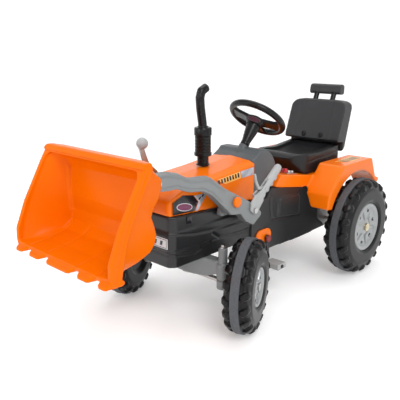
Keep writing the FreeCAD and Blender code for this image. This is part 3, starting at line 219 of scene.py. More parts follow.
MATERIALS = {
    "body_plastic": plastic("charcoal_body", (0.0135, 0.0140, 0.0150), 0.36, grain=0.35, wave=0.12,
                            shift=0.20, specular=0.40),
    "orange_gloss": plastic("orange_bodywork", (0.80, 0.152, 0.0006), 0.24, wave=0.08, shift=0.05,
                            specular=0.26),
    "orange_bucket": plastic("orange_scoop", (0.74, 0.128, 0.0), 0.24, grain=0.10, wave=0.10, shift=0.14,
                             drift_scale=7.0, specular=0.07),
    "grey_plastic": plastic("grey_moulding", (0.180, 0.191, 0.194), 0.40, grain=0.30, wave=0.06,
                            shift=0.08),
    "light_plastic": plastic("light_grey_grip", (0.34, 0.35, 0.35), 0.42, grain=0.35, shift=0.12,
                             drift_scale=60.0),
    "black_plastic": plastic("black_satin", (0.0045, 0.0045, 0.0050), 0.26, grain=0.15, shift=0.15,
                             specular=0.26),
    "seat_plastic": plastic("seat_shell", (0.019, 0.019, 0.021), 0.40, grain=0.45, wave=0.12,
                            shift=0.15, specular=0.40),
    "tyre_plastic": plastic("tyre_black", (0.0030, 0.0030, 0.0035), 0.30, grain=0.30, wave=0.15,
                            shift=0.25, specular=0.24),
    "grip_rubber": plastic("grip_band_rubber", (0.075, 0.080, 0.088), 0.60, grain=0.6,
                           grain_scale=420.0, shift=0.38, drift_scale=190.0, specular=0.3),
    "silver_plastic": plastic("silver_trim", (0.31, 0.322, 0.326), 0.30, grain=0.35, shift=0.16,
                              drift_scale=70.0, metallic=0.7),
    "steel": plastic("zinc_steel", (0.50, 0.49, 0.48), 0.30, grain=0.2, grain_scale=1600, metallic=1.0),
    "pedal_plastic": plastic("pedal_grey", (0.33, 0.33, 0.325), 0.50, grain=0.35, shift=0.10),
    "blank_plate": plastic("plate_silver", (0.52, 0.53, 0.55), 0.30, grain=0.1, shift=0.10,
                           drift_scale=60.0),
    "cowl_grey": plastic("cowl_grey", (0.064, 0.072, 0.077), 0.42, grain=0.40, wave=0.15, shift=0.25,
                         drift_scale=30.0),
    "dark_steel": plastic("dark_steel", (0.050, 0.050, 0.052), 0.35, grain=0.2, shift=0.15,
                          metallic=0.8),
    "decal_black": plastic("decal_black", (0.010, 0.008, 0.012), 0.22, shift=0.12),
    "decal_silver": plastic("decal_silver", (0.46, 0.48, 0.53), 0.26, shift=0.12, metallic=0.5),
    "decal_amber": plastic("decal_amber", (0.86, 0.42, 0.09), 0.28, shift=0.08),
    "decal_violet": plastic("decal_violet", (0.16, 0.022, 0.075), 0.26, shift=0.12),
    "seat_dark": plastic("seat_base_shell", (0.009, 0.009, 0.010), 0.38, grain=0.45, wave=0.12,
                         shift=0.15, specular=0.34),
    "hub_violet": plastic("hub_violet", (0.060, 0.012, 0.030), 0.30, shift=0.12),
    "hub_rim": plastic("hub_rim", (0.050, 0.030, 0.042), 0.30, shift=0.12),
    "decal_white": plastic("decal_white", (0.62, 0.60, 0.64), 0.28, shift=0.06),
    "knob_red": plastic("knob_red", (0.42, 0.010, 0.020), 0.32, grain=0.15, shift=0.08),
    "crank_red": plastic("crank_red", (0.20, 0.010, 0.010), 0.30, grain=0.15, shift=0.10),
    "brass": plastic("brass_nut", (0.58, 0.50, 0.32), 0.30, grain=0.2, shift=0.08, metallic=0.9),
}


# ---- mesh helpers -------------------------------------------------------------------------
def face_groups(faces):
    """The faces as connected groups."""
    left = set(faces)
    groups = []
    while left:
        seed = left.pop()
        group = [seed]
        stack = [seed]
        while stack:
            face = stack.pop()
            for edge in face.edges:
                for other in edge.link_faces:
                    if other in left:
                        left.remove(other)
                        group.append(other)
                        stack.append(other)
        groups.append(group)
    return groups


def signed_volume(group):
    """Six times the volume inside the faces, below zero where they face inwards."""
    volume = 0.0
    for face in group:
        corner = face.verts[0].co
        for i in range(1, len(face.verts) - 1):
            volume += corner.dot(face.verts[i].co.cross(face.verts[i + 1].co))
    return volume


def outer_skin(mesh):
    """Delete the closed inner skins of hollow solids: they are never seen."""
    work = bmesh.new()
    work.from_mesh(mesh)
    bmesh.ops.remove_doubles(work, verts=work.verts, dist=1e-6)
    for group in face_groups(work.faces):
        if signed_volume(group) < 0:
            bmesh.ops.delete(work, geom=group, context="FACES")
    loose = [v for v in work.verts if not v.link_faces]
    bmesh.ops.delete(work, geom=loose, context="VERTS")
    work.to_mesh(mesh)
    work.free()


def finish_with(mesh, material):
    """Give the whole mesh one material."""
    mesh.materials.clear()
    mesh.materials.append(MATERIALS[material])
    for polygon in mesh.polygons:
        polygon.material_index = 0


def add_object(name, mesh, material, body, replaced=()):
    """A new piece on a body, in place of the replaced nodes."""
    obj = bpy.data.objects.new(name, mesh)
    link(obj)
    finish_with(mesh, material)
    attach(obj, body)
    if replaced:
        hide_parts(*replaced)


def baked(obj):
    """The object's mesh with its modifiers applied."""
    bpy.context.view_layer.update()
    graph = bpy.context.evaluated_depsgraph_get()
    mesh = bpy.data.meshes.new_from_object(obj.evaluated_get(graph))
    bpy.data.objects.remove(obj)
    return mesh


def coordinates(mesh):
    """Vertex positions in millimetres from the rear axle, and vertex normals."""
    count = len(mesh.vertices)
    places = np.empty(count * 3)
    normals = np.empty(count * 3)
    mesh.vertices.foreach_get("co", places)
    mesh.vertex_normals.foreach_get("vector", normals)
    places = places.reshape(-1, 3) / MM
    places[:, 0] += ORIGIN_X
    return places, normals.reshape(-1, 3)


def put_back(mesh, places):
    """Write the positions that coordinates() gave back into the mesh."""
    moved = places.copy()
    moved[:, 0] -= ORIGIN_X
    mesh.vertices.foreach_set("co", (moved * MM).ravel())
    mesh.update()


def smooth_step(value):
    """0 to 1 with soft ends, as value goes from 0 to 1."""
    value = np.clip(value, 0, 1)
    return value * value * (3 - 2 * value)


def near_line(places, line):
    """Distance from each place to a polyline."""
    best = np.full(len(places), 1e9)
    for start, end in zip(line, line[1:]):
        start = np.array(start, float)
        run = np.array(end, float) - start
        share = np.clip((places - start) @ run / (run @ run), 0, 1)
        best = np.minimum(best, np.linalg.norm(places - start - share[:, None] * run, axis=1))
    return best


def press(mesh, lines, width, depth):
    """Sink a soft groove (or raise a rib, with a negative depth) along each polyline."""
    places, normals = coordinates(mesh)
    for line in lines:
        amount = smooth_step(1 - near_line(places, line) / width)
        places -= normals * (amount * depth)[:, None]
    put_back(mesh, places)


def moulded(node, voxel=3.0, rounds=4):
    """Soft-edged mesh of a CAD node, like a real blow moulding: remeshed, then smoothed."""
    mesh = nodes[node].data.copy()
    outer_skin(mesh)
    temp = bpy.data.objects.new("temp", mesh)
    link(temp)
    remesh = temp.modifiers.new("remesh", "REMESH")
    remesh.mode = "VOXEL"
    remesh.voxel_size = voxel * MM
    smooth = temp.modifiers.new("smooth", "SMOOTH")
    smooth.factor = 0.5
    smooth.iterations = rounds
    result = baked(temp)
    result.name = node + "_soft"
    shade_smooth(result)
    return result


def finish_of(node):
    return OWN_FINISH.get(node, slot_of_node[node])


def stand_for(node, mesh):
    """Show the mesh instead of the CAD node."""
    add_object(node + "_soft", mesh, finish_of(node), body_of_node[node], [node])


def slab(points, low, high, plane="xz", bevel=0.3):
    """Mesh of an outline extruded between two distances along the plane's normal, edges rounded."""
    work = bmesh.new()
    rings = []
    for w in (low, high):
        ring = []
        for u, v in points:
            place = {"xz": (u, w, v), "xy": (u, v, w), "yz": (w, u, v)}[plane]
            ring.append(work.verts.new(point(*place)))
        rings.append(ring)
    count = len(points)
    work.faces.new(rings[0])
    work.faces.new(list(reversed(rings[1])))
    for i in range(count):
        j = (i + 1) % count
        work.faces.new((rings[0][j], rings[0][i], rings[1][i], rings[1][j]))
    bmesh.ops.recalc_face_normals(work, faces=work.faces)
    bmesh.ops.bevel(work, geom=work.edges[:], offset=bevel * MM, segments=2, affect="EDGES", profile=0.6)
    mesh = bpy.data.meshes.new("slab")
    work.to_mesh(mesh)
    work.free()
    return mesh


def panel(points, centre, across, up, thickness, bevel=0.3):
    """Mesh of an outline in a plane given by two directions, standing on its centre."""
    across = Vector(across).normalized()
    up = Vector(up).normalized()
    mesh = slab(points, 0, thickness, "xy", bevel)
    turn = Matrix((across, up, across.cross(up))).transposed().to_4x4()
    start = Vector((-ORIGIN_X * MM, 0, 0))
    mesh.transform(Matrix.Translation(point(*centre)) @ turn @ Matrix.Translation(-start))
    return mesh


def lathe(profile, centre, axis, sides=48, ripple=None):
    """Mesh turned about an axis; profile is (radius, distance along the axis) in millimetres.

    ripple(ring, side) gives an added radius. A profile that doesn't close is capped at its ends."""
    axis = Vector(axis).normalized()
    first = axis.orthogonal().normalized()
    second = axis.cross(first)
    verts = []
    faces = []
    for ring, (radius, along) in enumerate(profile):
        for side in range(sides):
            turn = 2 * math.pi * side / sides
            reach = radius + (ripple(ring, side) if ripple else 0.0)
            offset = (first * math.cos(turn) + second * math.sin(turn)) * reach + axis * along
            verts.append(point(*centre) + offset * MM)
    for ring in range(len(profile) - 1):
        for side in range(sides):
            after = (side + 1) % sides
            faces.append((ring * sides + side, (ring + 1) * sides + side, (ring + 1) * sides + after,
                          ring * sides + after))
    closed_loop = profile[0] == profile[-1]
    mesh = bpy.data.meshes.new("lathe")
    mesh.from_pydata([tuple(v) for v in verts], [], faces)
    work = bmesh.new()
    work.from_mesh(mesh)
    bmesh.ops.remove_doubles(work, verts=work.verts, dist=1e-7)
    if not closed_loop:
        bmesh.ops.holes_fill(work, edges=[e for e in work.edges if e.is_boundary], sides=0)
    bmesh.ops.recalc_face_normals(work, faces=work.faces)
    work.to_mesh(mesh)
    work.free()
    shade_smooth(mesh)
    mesh.set_sharp_from_angle(angle=SHARP_ANGLE)
    return mesh


def joined(meshes):
    """One mesh of them all."""
    work = bmesh.new()
    for mesh in meshes:
        work.from_mesh(mesh)
    result = bpy.data.meshes.new("joined")
    work.to_mesh(result)
    work.free()
    shade_smooth(result)
    result.set_sharp_from_angle(angle=SHARP_ANGLE)
    return result


def mirrored(mesh):
    """The same mesh on the other side of the toy."""
    work = bmesh.new()
    work.from_mesh(mesh)
    bmesh.ops.scale(work, vec=(1, -1, 1), verts=work.verts)
    bmesh.ops.reverse_faces(work, faces=work.faces)
    result = bpy.data.meshes.new("mirrored")
    work.to_mesh(result)
    work.free()
    return result


def add_pair(name, left, material):
    """A left-hand mesh and its mirror image, as one piece on the chassis."""
    add_object(name, joined([left, mirrored(left)]), material, "chassis")


def oval(cx, cz, rx, rz, tilt, count=32):
    """Outline of an oval turned by tilt, in radians."""
    points = []
    for i in range(count):
        turn = 2 * math.pi * i / count
        u = rx * math.cos(turn)
        v = rz * math.sin(turn)
        points.append((cx + u * math.cos(tilt) - v * math.sin(tilt),
                       cz + u * math.sin(tilt) + v * math.cos(tilt)))
    return points


# ---- every CAD node gets its finish -------------------------------------------------------
OWN_FINISH = {"dash_cowl": "cowl_grey", "pedal_crank": "dark_steel", "rear_axle_nuts": "brass",
              "seat_base": "seat_dark"}
for name, obj in nodes.items():
    finish_with(obj.data, finish_of(name))

# Nodes that only need soft edges: voxel size in millimetres and rounds of smoothing.
PLAIN_MOULDINGS = {
    "dash_cowl": (2.6, 5), "rear_deck": (3.0, 5), "headrest": (2.2, 5), "headrest_posts": (1.4, 2),
    "exhaust_pipe": (1.6, 5), "front_axle_beam": (2.5, 4), "knuckle_left": (2.0, 3),
    "knuckle_right": (2.0, 3), "loader_brackets": (2.0, 3), "pedal_left": (1.2, 2),
    "pedal_right": (1.2, 2), "loader_pivot_caps": (1.2, 4), "crank_covers": (0.9, 1),
    "column_cover": (1.5, 3), "grip_trigger": (1.0, 3), "grip_handle": (1.5, 3),
    "front_tyre_left": (2.2, 2), "front_tyre_right": (2.2, 2), "rear_tyre_left": (2.3, 2),
    "rear_tyre_right": (2.3, 2), "ball_knob": (1.4, 2), "tilt_lever": (1.0, 1), "push_rod": (1.1, 2),
    "pedal_crank": (1.5, 3), "tow_hitch": (1.6, 3),
}
for node, (voxel, rounds) in PLAIN_MOULDINGS.items():
    stand_for(node, moulded(node, voxel, rounds))


# ---- lower body ---------------------------------------------------------------------------
SEAM_HEIGHTS = (281, 232, 224)        # grooves across the nose, which run on along both sides
NOSE_X = 747


def body_grooves(side):
    """Swage lines along one side of the body, and the outline of its side panel."""
    return [
        [(746, side * 84, 281), (732, side * 96, 281), (661, side * 98, 267), (572, side * 98, 258),
         (440, side * 98, 257)],
        [(746, side * 84, 232), (735, side * 97, 234), (637, side * 98, 227), (601, side * 98, 229)],
        [(744, side * 84, 224), (730, side * 97, 222), (657, side * 97, 212), (637, side * 97, 218)],
        [(592, side * 98, 250), (563, side * 98, 229), (440, side * 98, 221)],
        [(336, side * 104, 300), (336, side * 104, 258), (326, side * 104, 229), (180, side * 104, 212)],
    ]


def make_lower_body():
    """Body with its pressed lines, a dimple on each side and a dark latch plate under the bonnet."""
    mesh = moulded("lower_body", 2.8, 2)
    lines = body_grooves(-1) + body_grooves(1)
    lines += [[(NOSE_X, -84, z), (NOSE_X, 84, z)] for z in SEAM_HEIGHTS]
    press(mesh, lines, 5.5, 3.4)
    for side in (-1, 1):
        press(mesh, [[(305, side * 110, 250), (306, side * 110, 250)]], 7.0, 3.5)
    stand_for("lower_body", mesh)
    latch = slab([(674, 299), (690, 299), (690, 318), (674, 318)], 94.4, 98.8, bevel=0.9)
    add_pair("latch_slots", latch, "decal_black")


PLATE_FRONT = 749.7
PLATE_LINE = 1.4                      # width of the plate's dark border


def plate_mark(points):
    """Thin dark mark on the face of the front plate."""
    return slab(points, PLATE_FRONT, PLATE_FRONT + 0.3, "yz", bevel=0.1)


def make_number_plate():
    """Blank plate with a dark border and a plain row of blocks."""
    plate = slab([(-86, 242), (86, 242), (86, 270), (-86, 270)], 748.3, PLATE_FRONT, "yz", bevel=0.5)
    add_object("number_plate_soft", plate, "blank_plate", "chassis", ["number_plate"])
    marks = [plate_mark([(-83, z), (83, z), (83, z + PLATE_LINE), (-83, z + PLATE_LINE)])
             for z in (244.2, 266.4)]
    marks += [plate_mark([(y, 244.2), (y + PLATE_LINE, 244.2), (y + PLATE_LINE, 267.8), (y, 267.8)])
              for y in (-83, 81.6)]
    marks += [plate_mark([(y, 250), (y + 9, 250), (y + 12, 262), (y + 3, 262)])
              for y in (-70, -48, -26, 14, 36, 58)]
    add_object("number_plate_blocks", joined(marks), "decal_black", "chassis")


# ---- bonnet with its stick-on panels (outlines are X and Z) -------------------------------
SIDE_BLACK = [(731, 329), (731, 360), (696, 374), (658, 367), (640, 346), (653, 324)]
SIDE_SILVER = [(655, 365), (604, 365), (606, 360), (642, 322), (650, 324), (637, 346)]
STRIP_AMBER = [(566, 391), (469, 399), (464, 379), (530, 374)]
STRIP_SILVER = [(467, 398.5), (408, 402), (406, 380), (462, 379)]


BONNET_FACE = 88.0                    # Y of the bonnet's flat sides
BADGE_TILT = math.radians(12)


def bonnet_slab(points, low, high, bevel=0.15):
    return slab(points, BONNET_FACE + low, BONNET_FACE + high, bevel=bevel)


def make_bonnet():
    """Bonnet with stick-on panels on both sides: dark nose panel, silver and amber strips, an oval."""
    stand_for("bonnet", moulded("bonnet", 2.6, 3))
    layers = [("panel_black", SIDE_BLACK, "decal_black", 0.2, 0.9),
              ("panel_silver", SIDE_SILVER, "decal_silver", 0.2, 0.8),
              ("strip_amber", STRIP_AMBER, "decal_amber", 0.2, 0.8),
              ("strip_silver", STRIP_SILVER, "decal_silver", 0.2, 0.8),
              ("badge_rim", oval(690, 342, 29, 10.5, BADGE_TILT), "decal_white", 0.9, 1.3),
              ("badge_oval", oval(690, 342, 26.5, 8.6, BADGE_TILT), "decal_violet", 1.3, 1.7)]
    for name, points, material, low, high in layers:
        add_pair("bonnet_" + name, bonnet_slab(points, low, high), material)
    pieces = []
    for index in range(8):
        x = 557 - 11.6 * index
        low = 374.5 + 0.066 * (566 - x) + 2.5
        top = 391 + 0.082 * (566 - x) - 2.2
        bar = [(x - 5.0, low), (x + 1.6, low), (x + 5.0, top), (x - 1.6, top)]
        pieces.append(bonnet_slab(bar, 0.8, 1.1, 0.1))
    for x, z in ((622, 360), (634, 354), (645, 345)):
        pieces.append(bonnet_slab(oval(x, z, 5.5, 2.2, math.radians(-40), 16), 0.8, 1.1, 0.1))
    add_pair("bonnet_strip_bars", joined(pieces), "decal_black")


# ---- fender top strips --------------------------------------------------------------------
FENDER_TOP = 371.0


def make_fender_strips():
    """Amber strip with plain slanted bars on top of each fender."""
    base = slab([(44, 144), (-68, 137), (-84, 178), (0, 181)], FENDER_TOP - 0.2, FENDER_TOP + 0.5, "xy",
                bevel=0.15)
    bars = []
    for index in range(8):
        x = 30 - 12.5 * index
        bars.append(slab([(x, 147), (x - 5, 146.5), (x - 18, 175.5), (x - 12, 176)], FENDER_TOP + 0.5,
                         FENDER_TOP + 0.8, "xy", bevel=0.1))
    add_pair("fender_strip_amber", base, "decal_amber")
    add_pair("fender_strip_bars", joined(bars), "decal_black")


# ---- seat ---------------------------------------------------------------------------------
SCREW_Y = 34.0                        # of the backrest's two sunk screws
SCREW_PLACE = (-40.3, 438)            # X and Z
BACK_LEAN = math.atan2(50, 139)
DECK_POINT = (132, 336)               # X and Z of a point on the deck before the seat
DECK_SLOPE = 28.5 / 165
STRAP_Y = 79.0


def make_backrest():
    """Backrest with raised wings, a hollow between them, two seams and two screw pits."""
    mesh = moulded("seat_back", 2.6, 5)
    places, normals = coordinates(mesh)
    front = smooth_step((normals[:, 0] - 0.2) / 0.5)
    wing = smooth_step((np.abs(places[:, 1]) - 62) / 26)
    hollow = 1 - smooth_step(np.abs(places[:, 1]) / 70)
    up = smooth_step((places[:, 2] - 410) / 30) * smooth_step((560 - places[:, 2]) / 30)
    shift = front * up * (3.0 * wing - 4.0 * hollow)
    places += normals * shift[:, None]
    put_back(mesh, places)
    for side in (-1, 1):
        press(mesh, [[(-36, side * 68, 432), (-78, side * 60, 552)]], 5.0, 2.4)
        press(mesh, [[(-40, side * SCREW_Y, 437), (-40.5, side * SCREW_Y, 438)]], 13.0, 2.5)
    stand_for("seat_back", mesh)


def make_seat_base():
    """Seat base with a dished top, a rolled front lip and a seam along each side."""
    mesh = moulded("seat_base", 2.6, 6)
    places, normals = coordinates(mesh)
    top = smooth_step((normals[:, 2] - 0.3) / 0.4)
    across = 1 - smooth_step((np.abs(places[:, 1]) - 30) / 58)
    along = smooth_step((places[:, 0] + 66) / 60) * smooth_step((150 - places[:, 0]) / 70)
    places[:, 2] -= top * across * along * 7.0
    lip = top * smooth_step((places[:, 0] - 120) / 50)
    places[:, 2] -= lip * 5.0
    put_back(mesh, places)
    press(mesh, [[(150, 99, 376), (-60, 99, 388)], [(150, -99, 376), (-60, -99, 388)]], 5.0, 1.0)
    stand_for("seat_base", mesh)


def deck(x):
    """Height of the sloping deck before the seat."""
    return DECK_POINT[1] + (x - DECK_POINT[0]) * DECK_SLOPE


def make_seat_fixings():
    """Strap, clamp knob, bolts and the backrest's sunk screws, in place of the plain solids."""
    slope = math.atan(DECK_SLOPE)
    normal = Vector((-math.sin(slope), 0, math.cos(slope)))
    rear, front = 186, 246
    parts = [slab([(rear, deck(rear) + 0.2), (front, deck(front) + 0.2), (front, deck(front) + 3.2),
                   (rear, deck(rear) + 3.2)], STRAP_Y - 17, STRAP_Y + 17, bevel=0.8)]
    bolt = [(0, 0), (6.4, 0), (6.4, 1.2), (5.2, 1.4), (5.2, 5.2), (4.6, 6), (0, 6)]
    for x in (196, 214):
        parts.append(lathe(bolt, (x, STRAP_Y, deck(x) + 3.2), normal, 24))
    add_object("seat_strap", joined(parts), "steel", "chassis", ["seat_fixings"])

    def lobes(ring, side):
        return 0.5 * math.cos(side * math.pi / 3) if 2 < ring < 6 else 0
    profile = [(0, 0), (9, 0), (9, 2), (7.8, 3), (8.6, 10), (7.6, 12), (0, 12.2)]
    knob = lathe(profile, (236, STRAP_Y, deck(236) + 3.3), normal, 36, lobes)
    add_object("seat_knob", knob, "knob_red", "chassis")
    face = Vector((math.cos(BACK_LEAN), 0, math.sin(BACK_LEAN)))
    screw = [(0, -2), (8, -2), (8, 1.4), (7, 2.4), (5.2, 2.4), (4.6, 0.6), (0, 0.6)]
    heads = [lathe(screw, (SCREW_PLACE[0], side * SCREW_Y, SCREW_PLACE[1]), face, 32) for side in (-1, 1)]
    add_object("seat_screws", joined(heads), "black_plastic", "chassis")


# ---- loader arms (outlines are X and Z) ---------------------------------------------------
ARM_TOP = [(820, 457.5), (794, 456.5), (758, 447), (727, 431), (700, 427), (655, 424), (627, 404),
           (598, 384), (484, 323), (462, 310)]
ARM_BOTTOM = [(609, 341), (646, 374), (680, 391), (727, 397), (768, 413), (815, 415)]
ARM_MIDDLE = 131.0                    # Y of an arm's middle plane
ARM_FACE = 144.0                      # Y of its outer face


def make_arms():
    """Arms with a rib between two grooves along the top, and a line inside the outer face's edges."""
    for side, name in BOTH_SIDES:
        mesh = moulded("loader_arm_" + name, 2.0, 3)
        grooves = [[(x, side * (ARM_MIDDLE + shift), z) for x, z in ARM_TOP] for shift in (-5.5, 5.5)]
        press(mesh, grooves, 4.2, 2.4)
        press(mesh, [[(x, side * ARM_MIDDLE, z) for x, z in ARM_TOP]], 4.5, -1.6)
        upper = [(x, side * ARM_FACE, z - 10) for x, z in ARM_TOP[:-2]]
        lower = [(x, side * ARM_FACE, z + 7) for x, z in ARM_BOTTOM]
        press(mesh, [upper, lower], 3.6, 2.6)
        stand_for("loader_arm_" + name, mesh)


# ---- bucket -------------------------------------------------------------------------------
FLOOR_LINE = [(1000, 1.0, 267.6), (965, 0.99, 272), (947, 0.98, 274.7), (911, 0.96, 283.4),
              (893, 0.95, 290.8), (880, 0.94, 299)]      # X, share of the line's Y at the lip, Z
RIM_LINE = [(898, 490), (917, 450), (952, 386), (980, 312), (994, 260)]
CORNER_LINE = [(900, 141, 470), (872, 141, 440), (874, 140, 380), (872, 139, 330)]


def make_bucket():
    """Bucket with lines on its floor, a proud top bar, grooved rims and soft inner corners."""
    mesh = moulded("bucket", 2.3, 2)
    floor_lines = [[(x, y * share, z) for x, share, z in FLOOR_LINE] for y in (61, -61, 137, -137)]
    press(mesh, floor_lines, 4.2, 3.6)
    places, normals = coordinates(mesh)
    front = smooth_step((normals[:, 0] - 0.2) / 0.3) * smooth_step((places[:, 0] - 895) / 6)
    bar = smooth_step((places[:, 2] - 486.5) / 2.5)
    places[:, 0] += front * bar * 4.5
    put_back(mesh, places)
    press(mesh, [[(903, -160, 502), (903, 160, 502)]], 4.0, 1.2)
    for side in (-1, 1):
        press(mesh, [[(x, side * 190, z) for x, z in RIM_LINE]], 4.0, 1.6)
        press(mesh, [[(x, side * y, z) for x, y, z in CORNER_LINE]], 9.0, -2.5)
    stand_for("bucket", mesh)


# ---- steering wheel with horn and badge ---------------------------------------------------
COLUMN_UP = Vector((-math.sin(COLUMN_TILT), 0, math.cos(COLUMN_TILT)))
COLUMN_AHEAD = Vector((math.cos(COLUMN_TILT), 0, math.sin(COLUMN_TILT)))


def column(distance):
    """Place on the steering column's axis; distance runs down from its top."""
    return (COLUMN_TOP[0] + distance * math.sin(COLUMN_TILT), 0.0,
            COLUMN_TOP[1] - distance * math.cos(COLUMN_TILT))


def make_steering():
    """Steering wheel, its horn button with a badge, and an oval badge on the hub's front."""
    stand_for("steering_wheel", moulded("steering_wheel", 1.8, 4))
    profile = [(0, 0.6), (9, 0.4), (14, -0.6), (16.8, -2.0), (17.9, -3.6), (18.1, -8.4), (0, -8.4)]
    horn = lathe(profile, column(0), COLUMN_UP, 48)
    add_object("horn_soft", horn, "black_plastic", "horn_button", ["horn_button"])
    profile = [(0, 0.9), (10.5, 0.8), (11.5, 0.2), (11.5, -0.8), (0, -0.8)]
    add_object("horn_badge", lathe(profile, column(0), COLUMN_UP, 40), "decal_violet", "horn_button")
    facing = COLUMN_AHEAD * math.cos(WHEEL_TURN) + Vector((0, 1, 0)) * math.sin(WHEEL_TURN)
    across = COLUMN_UP.cross(facing)
    lean = (facing - COLUMN_UP * 0.66).normalized()
    for name, width, height, reach, material in (("hub_badge_rim", 21, 7.5, 28.2, "hub_rim"),
                                                 ("hub_badge", 18.5, 5.6, 30.0, "hub_violet")):
        centre = Vector(column(19.5)) + facing * reach
        badge = panel(oval(0, 0, width, height, 0), centre, across, lean.cross(across), 2.6)
        add_object(name, badge, material, "steering")


# ---- exhaust and crank --------------------------------------------------------------------
EXHAUST_X = 526.0
CRANK_PLACE = (366.0, 182.0)          # X and Z
CRANK_END_Y = 119.1


def make_muffler():
    """Muffler turned in one profile of radii and heights: foot, ribbed body, collar."""
    profile = [(0, 414.6), (18.5, 414.6), (19, 416), (18.5, 418), (16.2, 419), (16, 440), (23, 441),
               (24.5, 442.5), (24.5, 450), (22.0, 452)]
    for rib in range(5):
        z = 453.0 + 9.0 * rib
        profile += [(22.6, z + 0.8), (22.6, z + 6.2), (21.6, z + 7.0), (21.6, z + 8.2)]
    profile += [(24.4, 499), (24.4, 518), (22.9, 520.4), (15.4, 521.6), (14.6, 524), (0, 524)]
    muffler = lathe(profile, (EXHAUST_X, 0, 0), (0, 0, 1), 64)
    add_object("exhaust_muffler_soft", muffler, "black_plastic", "chassis",
               ["exhaust_muffler"])


def make_crank_ends():
    """Dark red cap over each end of the crank shaft."""
    profile = [(0, 0), (10.5, 0), (10.5, 3), (8.5, 5), (0, 5.4)]
    for side, name in BOTH_SIDES:
        place = (CRANK_PLACE[0], side * CRANK_END_Y, CRANK_PLACE[1])
        add_object("crank_end_" + name, lathe(profile, place, (0, side, 0), 32), "crank_red", "crank")


# ---- wheels -------------------------------------------------------------------------------
BAND_HALF = 11.0                      # half the grip band's width
BAND_RINGS = 13
BAND_SIDES = 300
SPOKES = 6


def wheel_frames():
    """Centre, outward axis, radius, half width, trim radius and trim depth of each wheel."""
    sin_lock, cos_lock = math.sin(LOCK), math.cos(LOCK)
    frames = []
    for side, name in BOTH_SIDES:
        centre = (WHEELBASE - side * WHEEL_OFFSET * sin_lock,
                  side * (KINGPIN_Y + WHEEL_OFFSET * cos_lock), 128.0)
        axis = (-side * sin_lock, side * cos_lock, 0)
        frames.append(("front", name, centre, axis, 128.0, 39.0, 55.0, 16.0))
        frames.append(("rear", name, (0.0, side * 217.0, 160.0), (0, side, 0), 160.0, 43.0, 81.0, 17.0))
    return frames


def make_band(centre, axis, radius):
    """Knurled grip band round the middle of a tyre."""
    last = BAND_RINGS - 1
    profile = [(radius - 7, -BAND_HALF)]
    for i in range(BAND_RINGS):
        along = -BAND_HALF + 2 * BAND_HALF * i / last
        profile.append((radius - (1.1 if i in (0, last) else 0.2), along))
    profile += [(radius - 7, BAND_HALF), (radius - 7, -BAND_HALF)]

    def knurl(ring, side):
        if not 1 < ring < BAND_RINGS:
            return 0.0
        return -0.9 if (side + ring) % 4 < 2 and (ring + side * 3) % 3 else 0.0
    return lathe(profile, centre, axis, BAND_SIDES, knurl)


def make_trim(centre, axis, hub, floor, face):
    """Dished wheel trim with a raised middle and a rolled edge."""
    profile = [(4, floor + 7.5), (hub * 0.20, floor + 7.5), (hub * 0.24, floor + 6.8),
               (hub * 0.30, floor + 6.2), (hub * 0.36, floor + 3.2), (hub * 0.52, floor + 2.6),
               (hub * 0.74, floor + 3.4), (hub * 0.79, floor + 5.4), (hub * 0.82, face - 2.4),
               (hub * 0.87, face - 0.6), (hub * 0.93, face), (hub - 2, face - 1.2),
               (hub - 0.3, face - 3.6), (hub - 0.3, floor + 0.2), (4, floor + 0.2), (4, floor + 7.5)]
    return lathe(profile, centre, axis, 96)


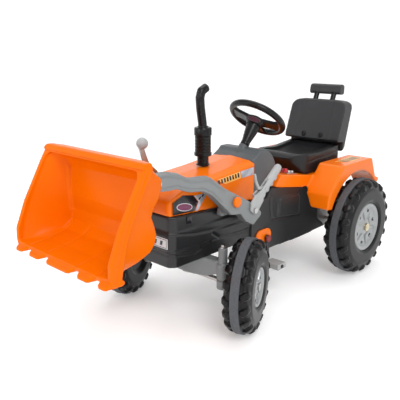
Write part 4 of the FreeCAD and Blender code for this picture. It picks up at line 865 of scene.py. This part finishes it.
def make_rib(centre, out, arm, hub, floor):
    """Low rib that widens outwards along one arm of the trim."""
    across = out.cross(arm)
    work = bmesh.new()
    corners = []
    for reach, rise, wide in ((0.34, 6.0, 3.6), (0.80, 5.6, 6.4)):
        for lift, width in ((2.4, wide), (rise, wide * 0.75)):
            for sign in (-1, 1):
                offset = arm * hub * reach + across * sign * width + out * (floor + lift)
                corners.append(work.verts.new(point(*(Vector(centre) + offset))))
    a0, a1, a2, a3, b0, b1, b2, b3 = corners
    for quad in ((a0, a1, a3, a2), (b1, b0, b2, b3), (a0, a2, b2, b0), (a1, b1, b3, a3), (a2, a3, b3, b2),
                 (a0, b0, b1, a1)):
        work.faces.new(quad)
    bmesh.ops.recalc_face_normals(work, faces=work.faces)
    bmesh.ops.bevel(work, geom=work.edges[:], offset=0.7 * MM, segments=2, affect="EDGES")
    rib = bpy.data.meshes.new("rib")
    work.to_mesh(rib)
    work.free()
    return rib


def make_wheels():
    """Grip bands and trims with their ribs and holes, on the body of each tyre."""
    for end, name, centre, axis, radius, half, hub, cap_depth in wheel_frames():
        body = body_of_node[end + "_tyre_" + name]
        band_name = end + "_grip_band_" + name
        trim_name = end + "_hubcap_" + name
        add_object(band_name + "_soft", make_band(centre, axis, radius), "grip_rubber", body,
                   [band_name])
        floor = half - cap_depth
        add_object(trim_name + "_soft", make_trim(centre, axis, hub, floor, half - 5), "silver_plastic",
                   body, [trim_name])
        out = Vector(axis).normalized()
        first = out.orthogonal().normalized()
        second = out.cross(first)
        holes = []
        ribs = []
        hole = [(0, floor + 3.3), (hub * 0.062, floor + 3.3), (hub * 0.075, floor + 3.9),
                (hub * 0.085, floor + 3.2), (hub * 0.085, floor + 2.0), (0, floor + 2.0)]
        for i in range(SPOKES):
            turn = 2 * math.pi * i / SPOKES
            arm = first * math.cos(turn) + second * math.sin(turn)
            holes.append(lathe(hole, Vector(centre) + arm * hub * 0.68, out, 20))
            turn += math.pi / SPOKES
            arm = first * math.cos(turn) + second * math.sin(turn)
            ribs.append(make_rib(centre, out, arm, hub, floor))
        add_object(trim_name + "_ribs", joined(ribs), "silver_plastic", body)
        add_object(trim_name + "_holes", joined(holes), "decal_black", body)


make_lower_body()
make_number_plate()
make_crank_ends()
make_bonnet()
make_fender_strips()
make_backrest()
make_seat_base()
make_seat_fixings()
make_arms()
make_bucket()
make_steering()
make_muffler()
make_wheels()
make_studio()
make_camera()
